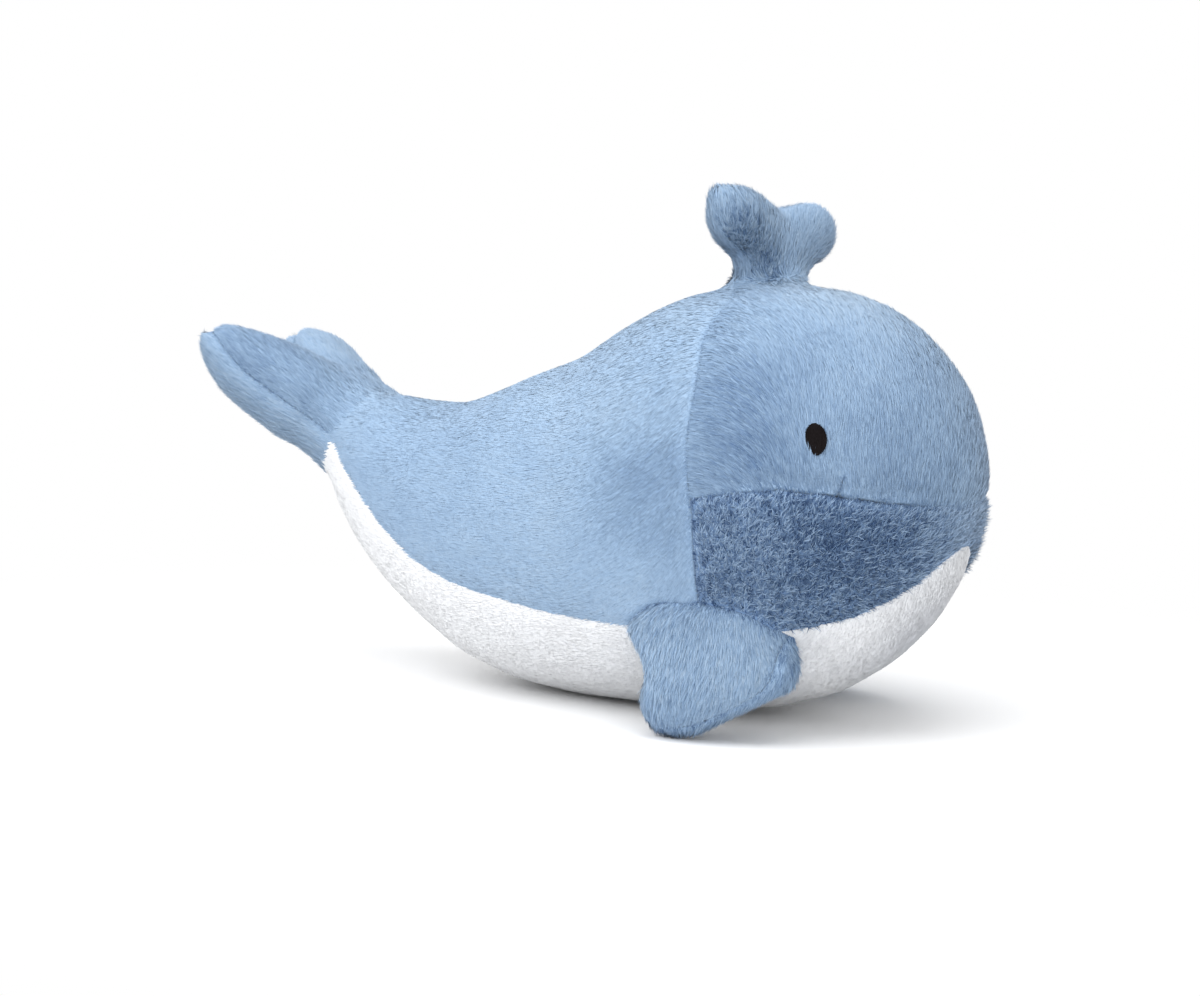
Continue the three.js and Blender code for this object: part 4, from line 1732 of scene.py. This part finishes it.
@dataclass
class Studio:
    """The pale floor, the soft light and the camera.

    Attributes:
        eye: The camera's place.
        forward: The way it looks.
        up: Its upward direction.
        lens: Its focal length, in millimetres.
        sensor: Its sensor's width, in millimetres.
        middle: The point that the lamps are turned to.
        lamps: One above and to the left, one overhead and a low one to the right in front.
        key: Strength of the main lamp, in watts.
        fill: Strength of the world's light.
        floor_radius: Radius of the floor.
        floor_colour: Its colour.
        floor_fade: Where it starts and ends to fade out.
    """

    eye: Point = (0.5539, -1.1267, 0.2267)
    forward: Point = (-0.4629, 0.8818, -0.0907)
    up: Point = (-0.0785, 0.0612, 0.995)
    lens: float = 67.2
    sensor: float = 36.0
    middle: Point = (0.0, 0.0, 0.1)
    lamps: Sequence[Lamp] = (
        Lamp("key", (-0.75, -1.1, 1.1), 1.4),
        Lamp("top", (0.3, -0.35, 1.7), 1.2, 0.85),
        Lamp("front", (1.1, -1.4, 0.35), 1.2, 0.5),
    )
    key: float = 15.5
    fill: float = 0.83
    floor_radius: float = 1.2
    floor_colour: Colour = (0.94, 0.94, 0.94)
    floor_fade: tuple[float, float] = (0.24, 0.6)

    def build(self) -> None:
        """Set up the camera, the lamps, the world and the floor."""
        self._camera()
        for lamp in self.lamps:
            lamp.hang(self.key, self.middle)
        self._world()
        self._floor()
        bpy.context.scene.view_settings.view_transform = "Standard"

    def _camera(self) -> None:
        """Stand the camera where the view is taken from."""
        data = bpy.data.cameras.new("camera")
        data.lens = self.lens
        data.sensor_fit = "HORIZONTAL"
        data.sensor_width = self.sensor
        data.clip_start = 0.05
        camera = bpy.data.objects.new("camera", data)
        back = -Vector(self.forward).normalized()
        right = Vector(self.up).cross(back).normalized()
        turn = Matrix((right, back.cross(right), back)).transposed().to_4x4()
        camera.matrix_world = Matrix.Translation(self.eye) @ turn
        bpy.context.scene.collection.objects.link(camera)
        bpy.context.scene.camera = camera

    def _world(self) -> None:
        """Light evenly from all round, and show white behind."""
        world = bpy.data.worlds.new("studio")
        world.use_nodes = True
        world.node_tree.nodes.clear()
        bench = Bench(world.node_tree)
        path = bench.make("ShaderNodeLightPath", None, None, "Is Camera Ray")
        seen = path + path.output("Is Glossy Ray") + path.output("Is Transmission Ray")
        strength = self.fill + (1.0 - self.fill) * seen
        sockets = {"Color": (1.0, 1.0, 1.0, 1.0), "Strength": strength}
        light = bench.make("ShaderNodeBackground", None, sockets)
        bench.make("ShaderNodeOutputWorld", None, {"Surface": light})
        bpy.context.scene.world = world

    def _floor(self) -> None:
        """Lay a pale round floor that fades into the white behind it."""
        bm = bmesh.new()
        bmesh.ops.create_circle(bm, cap_ends=True, segments=96, radius=self.floor_radius)
        floor = new_object("floor", to_mesh("floor", bm))
        constants = {"Base Color": (*self.floor_colour, 1.0), "Roughness": 0.9, "Specular IOR Level": 0.1}
        surface = Surface("floor", constants)
        bench = surface.bench
        place = bench.make("ShaderNodeTexCoord", None, None, "Object")
        far = bench.vector("LENGTH", {0: place}).output("Value")
        start, end = self.floor_fade
        sockets = {"Value": far, "From Min": start, "From Max": end}
        fade = bench.make("ShaderNodeMapRange", {"interpolation_type": "SMOOTHSTEP"}, sockets, "Result")
        clear = bench.make("ShaderNodeBsdfTransparent")
        mixed = bench.make("ShaderNodeMixShader", None, {0: fade, 1: surface.shader, 2: clear})
        floor.data.materials.append(surface.show(mixed))


def pair(first: str, second: str) -> frozenset[str]:
    """Name a seam by the two panels that it joins."""
    return frozenset((f"{first}_panel", f"{second}_panel"))


def both_sides(kind: type[Paired], place: Point, *rest: object) -> tuple[Paired, Paired]:
    """Make a patch or a tuck on the right side and its like on the left.

    Args:
        kind: What to make.
        place: Its middle on the left.
        rest: What else it takes.

    Returns:
        The right one and the left one.
    """
    x, y, z = place
    return kind((x, -y, z), *rest), kind((x, y, z), *rest)


def body_panels() -> tuple[Panel, ...]:
    """Lay out the panels of the body, the flukes and the spout."""
    tail = Bend("flukes", "tail_bend", (-0.848, 0.0, 0.53), -7.0 * MM, 30.0 * MM)
    blow = Bend("spout", "spout_tilt", (0.0, 0.0, 1.0), 2.0 * MM, 20.0 * MM)
    brow = {
        "lift": 0.2,
        "stray": 0.12,
        "tone": 0.41,
        "clump": 0.11,
        "softness": 0.91,
        # A painted highlight on top of the head, and painted shade lower on its sides.
        "patches": (
            Patch((0.108, 0.0, 0.232), 45.0 * MM, 0.34),
            *both_sides(Patch, (0.105, 0.100, 0.142), 28.0 * MM, -0.13),
            *both_sides(Patch, (0.090, 0.094, 0.176), 30.0 * MM, -0.2),
            *both_sides(Patch, (0.164, 0.060, 0.142), 34.0 * MM, -0.12),
        ),
    }
    jaw = {
        "lift": 0.75,
        "stray": 0.5,
        "tone": 0.57,
        "mottle": 0.25,
        "chance": 0.5,
        "clump": 0.7,
        "softness": 0.68,
        # Darker mid-way along each side and lighter behind that; at the nose the pile lies flatter, with a
        # painted highlight.
        "patches": (
            *both_sides(Patch, (0.146, 0.078, 0.104), 36.0 * MM, -0.36),
            *both_sides(Patch, (0.080, 0.105, 0.098), 28.0 * MM, 0.25),
            Patch((0.190, 0.0, 0.115), 42.0 * MM, 0.5, -0.5, -0.4),
        ),
    }
    flank = {
        "lift": 0.07,
        "stray": 0.035,
        "tone": 0.58,
        "chance": 0.07,
        "clump": 0.03,
        "softness": 0.96,
        "length": 0.85,
        "width": 1.2,
        # Painted shade on the sides towards the neck, and lightly on their rear.
        "patches": (
            *both_sides(Patch, (0.055, 0.108, 0.130), 40.0 * MM, -0.3),
            *both_sides(Patch, (-0.130, 0.055, 0.130), 60.0 * MM, -0.12),
        ),
    }
    belly = {
        "lift": 0.16,
        "stray": 0.05,
        "tone": 0.7,
        "mottle": 0.02,
        "chance": 0.02,
        "clump": 0.01,
        "softness": 0.98,
        "length": 0.62,
        "width": 1.4,
        "density": 0.75,
        # Painted shade under the chin, where the front of the belly is turned from the light.
        "patches": (Patch((0.155, 0.0, 0.055), 55.0 * MM, -0.55),),
    }
    # Painted shade on the near fluke and painted light on the far one.
    fluke_light_and_shade = (
        Patch((-0.239, -0.053, 0.174), 36.0 * MM, -0.14),
        Patch((-0.239, 0.030, 0.188), 30.0 * MM, 0.15),
    )
    # The spout's near lobe is parted at its front, where the pile stands up in clumps, and painted darker
    # there: painted shade.
    parted = (
        Patch((0.063, -0.038, 0.262), 14.0 * MM, -0.31, 0.4, 0.35),
        Patch((0.068, -0.018, 0.244), 11.0 * MM, -0.31, 0.4, 0.35),
    )
    jet = {"lift": 0.3, "tone": 0.5, "clump": 0.14, "patches": parted}
    return (
        Panel("forehead_panel", BLUE, Nap.OVER_THE_BROW, **brow),
        Panel("jaw_panel", NAPPED, Nap.BRUSHED_UP, **jaw),
        Panel("right_side_panel", BLUE, Nap.ALONG_THE_SIDE, **flank),
        Panel("left_side_panel", BLUE, Nap.ALONG_THE_SIDE, **flank),
        Panel("belly_panel", WHITE, Nap.UNDER_THE_BELLY, **belly),
        Panel("fluke_upper_panel", BLUE, Nap.TO_THE_TIPS, tone=0.44, patches=fluke_light_and_shade, bend=tail),
        Panel("fluke_lower_panel", BLUE, Nap.TO_THE_TIPS, tone=0.5, clump=0.16, bend=tail),
        Panel("spout_front_panel", BLUE, Nap.UP_THE_SPOUT, **jet, bend=blow),
        Panel("spout_back_panel", BLUE, Nap.UP_THE_SPOUT, tone=0.46, bend=blow),
    )


def body_seams() -> dict[frozenset[str], Seam]:
    """Say how the seams of the body, the flukes and the spout draw in."""
    mouth = ((0.075, 0.55), (0.115, 0.65), (0.138, 1.0), (0.160, 0.95), (0.186, 0.2))
    neck = Seam(1.8 * MM, 0.3, 0.9 * MM, 0.7)
    soft = Seam(1.2 * MM, 0.1, 4.0 * MM)
    seams = {
        pair("forehead", "jaw"): Seam(3.0 * MM, 0.5, 0.3 * MM, 0.95, mouth),
        pair("right_side", "left_side"): Seam(1.2 * MM, 0.15, 3.0 * MM),
        pair("jaw", "belly"): soft,
        pair("fluke_upper", "fluke_lower"): Seam(2.2 * MM, 0.28, 1.2 * MM, 0.8),
        pair("spout_front", "spout_back"): Seam(0.8 * MM, 0.12, 3.0 * MM),
    }
    for side in ("right_side", "left_side"):
        seams[pair("forehead", side)] = neck
        seams[pair("jaw", side)] = neck
        seams[pair(side, "belly")] = soft
    return seams


def whale_body(eyes: Sequence[Eye]) -> Body:
    """Lay out the body with its flukes and spout, whose skins run on from it.

    Args:
        eyes: The eyes that its pile leaves room for.

    Returns:
        The body.
    """
    lobe = Tuck((0.048, -0.046, 0.282), 11.0 * MM, (-2.5 * MM, -2.5 * MM, 5.0 * MM))
    lobe_foot = Tuck((0.066, 0.018, 0.246), 11.0 * MM, (4.0 * MM, 3.5 * MM, 0.0))
    crown = Tuck((0.128, 0.0, 0.224), 42.0 * MM, (1.0 * MM, 0.0, 3.2 * MM))
    nape = Tuck((0.018, 0.0, 0.218), 36.0 * MM, (0.0, 0.0, -3.5 * MM))
    near_tip = Tuck((-0.270, -0.057, 0.188), 20.0 * MM, (-1.0 * MM, 0.0, 4.5 * MM))
    saddle = Tuck((-0.166, 0.012, 0.160), 16.0 * MM, (0.0, 0.0, -2.6 * MM))
    far_fluke = Tuck((-0.222, 0.030, 0.180), 16.0 * MM, (0.0, 0.0, -3.4 * MM))
    return Body(
        name="body",
        panels=body_panels(),
        fills={"body_fill": "body", "fluke_fill": "flukes", "spout_fill": "spout"},
        seams=body_seams(),
        roots=(
            Root("right_fin_flap", 11.0 * MM, 42.0 * MM),
            Root("left_fin_flap", 11.0 * MM, 42.0 * MM),
            Root("tail_bend", 33.0 * MM, 37.0 * MM),
            Root("spout_tilt", 17.5 * MM, 22.5 * MM),
        ),
        creases=(Crease((0.1416, -0.0834, 0.1296), (0.1432, -0.0808, 0.1401), 2.2 * MM, 0.45),),
        eases=(Ease("tail_bend", 46.0 * MM, 40), Ease("spout_tilt", 24.0 * MM, 6)),
        tucks=(lobe, lobe_foot, crown, nape, near_tip, saddle, far_fluke),
        turned=(
            *both_sides(Tuck, (0.052, 0.040, 0.230), 26.0 * MM, (-11.0 * MM, 0.0, 0.0)),
            *both_sides(Tuck, (0.066, 0.104, 0.155), 32.0 * MM, (6.0 * MM, 0.0, 0.0)),
        ),
        eyes=eyes,
    )


def fin(side: str) -> StuffedForm:
    """Lay out one fin."""
    upper, under = f"{side}_fin_upper", f"{side}_fin_under"
    bend = Bend(f"{side}_fin", f"{side}_fin_flap", (0.0, 0.0, -1.0), -7.0 * MM, 14.0 * MM)
    out = -1.0 if side == "right" else 1.0
    front_corner = Tuck((0.120, out * 0.083, 0.067), 17.0 * MM, (0.0, -out * 13.0 * MM, -4.0 * MM))
    rear_corner = Tuck((0.029, out * 0.102, 0.069), 12.0 * MM, (2.0 * MM, -out * 9.0 * MM, -3.0 * MM))
    waist = Tuck((0.036, out * 0.100, 0.033), 12.0 * MM, (6.0 * MM, 0.0, 0.0))
    tip = Tuck((0.050, out * 0.102, 0.010), 13.0 * MM, (-3.0 * MM, 0.0, -1.0 * MM))
    rim = Tuck((0.124, out * 0.083, 0.046), 24.0 * MM, (4.0 * MM, -out * 7.0 * MM, -3.0 * MM))
    return StuffedForm(
        name=f"{side}_fin",
        panels=(
            Panel(f"{upper}_panel", BLUE, Nap.DOWN_THE_FIN, tone=0.47, chance=0.22, clump=0.13, bend=bend),
            # The under panel is painted darker than the upper: painted shade on the side that faces down.
            Panel(f"{under}_panel", BLUE, Nap.DOWN_THE_FIN, tone=0.30, chance=0.22, clump=0.2, bend=bend),
        ),
        fills={f"{side}_fin_fill": f"{side}_fin"},
        tucks=(front_corner, rear_corner, waist, tip),
        turned=(rim,),
        seams={pair(upper, under): Seam(1.2 * MM, 0.3, 1.2 * MM, 0.7)},
        voxel=2.8 * MM,
        limb_rounds=4,
        seam_reach=3.0 * MM,
        pile_depth=-0.6 * MM,
        give=1.5 * MM,
    )


def main() -> None:
    """Build the whale piece by piece."""
    logging.basicConfig(level=logging.INFO, format="%(name)s: %(message)s")
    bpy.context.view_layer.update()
    Studio().build()
    eyes = (Eye("right_eye", -1), Eye("left_eye", 1))
    maker = PileMaker()
    forms = (whale_body(eyes), fin("right"), fin("left"))
    for form in forms:
        form.shape()
    surfaces = [tree_of(form.skin.data) for form in forms]
    for form, own in zip(forms, surfaces):
        form.dress(maker, [s for s in surfaces if s is not own])
    for eye in eyes:
        eye.build()


if __name__ == "__main__":
    main()
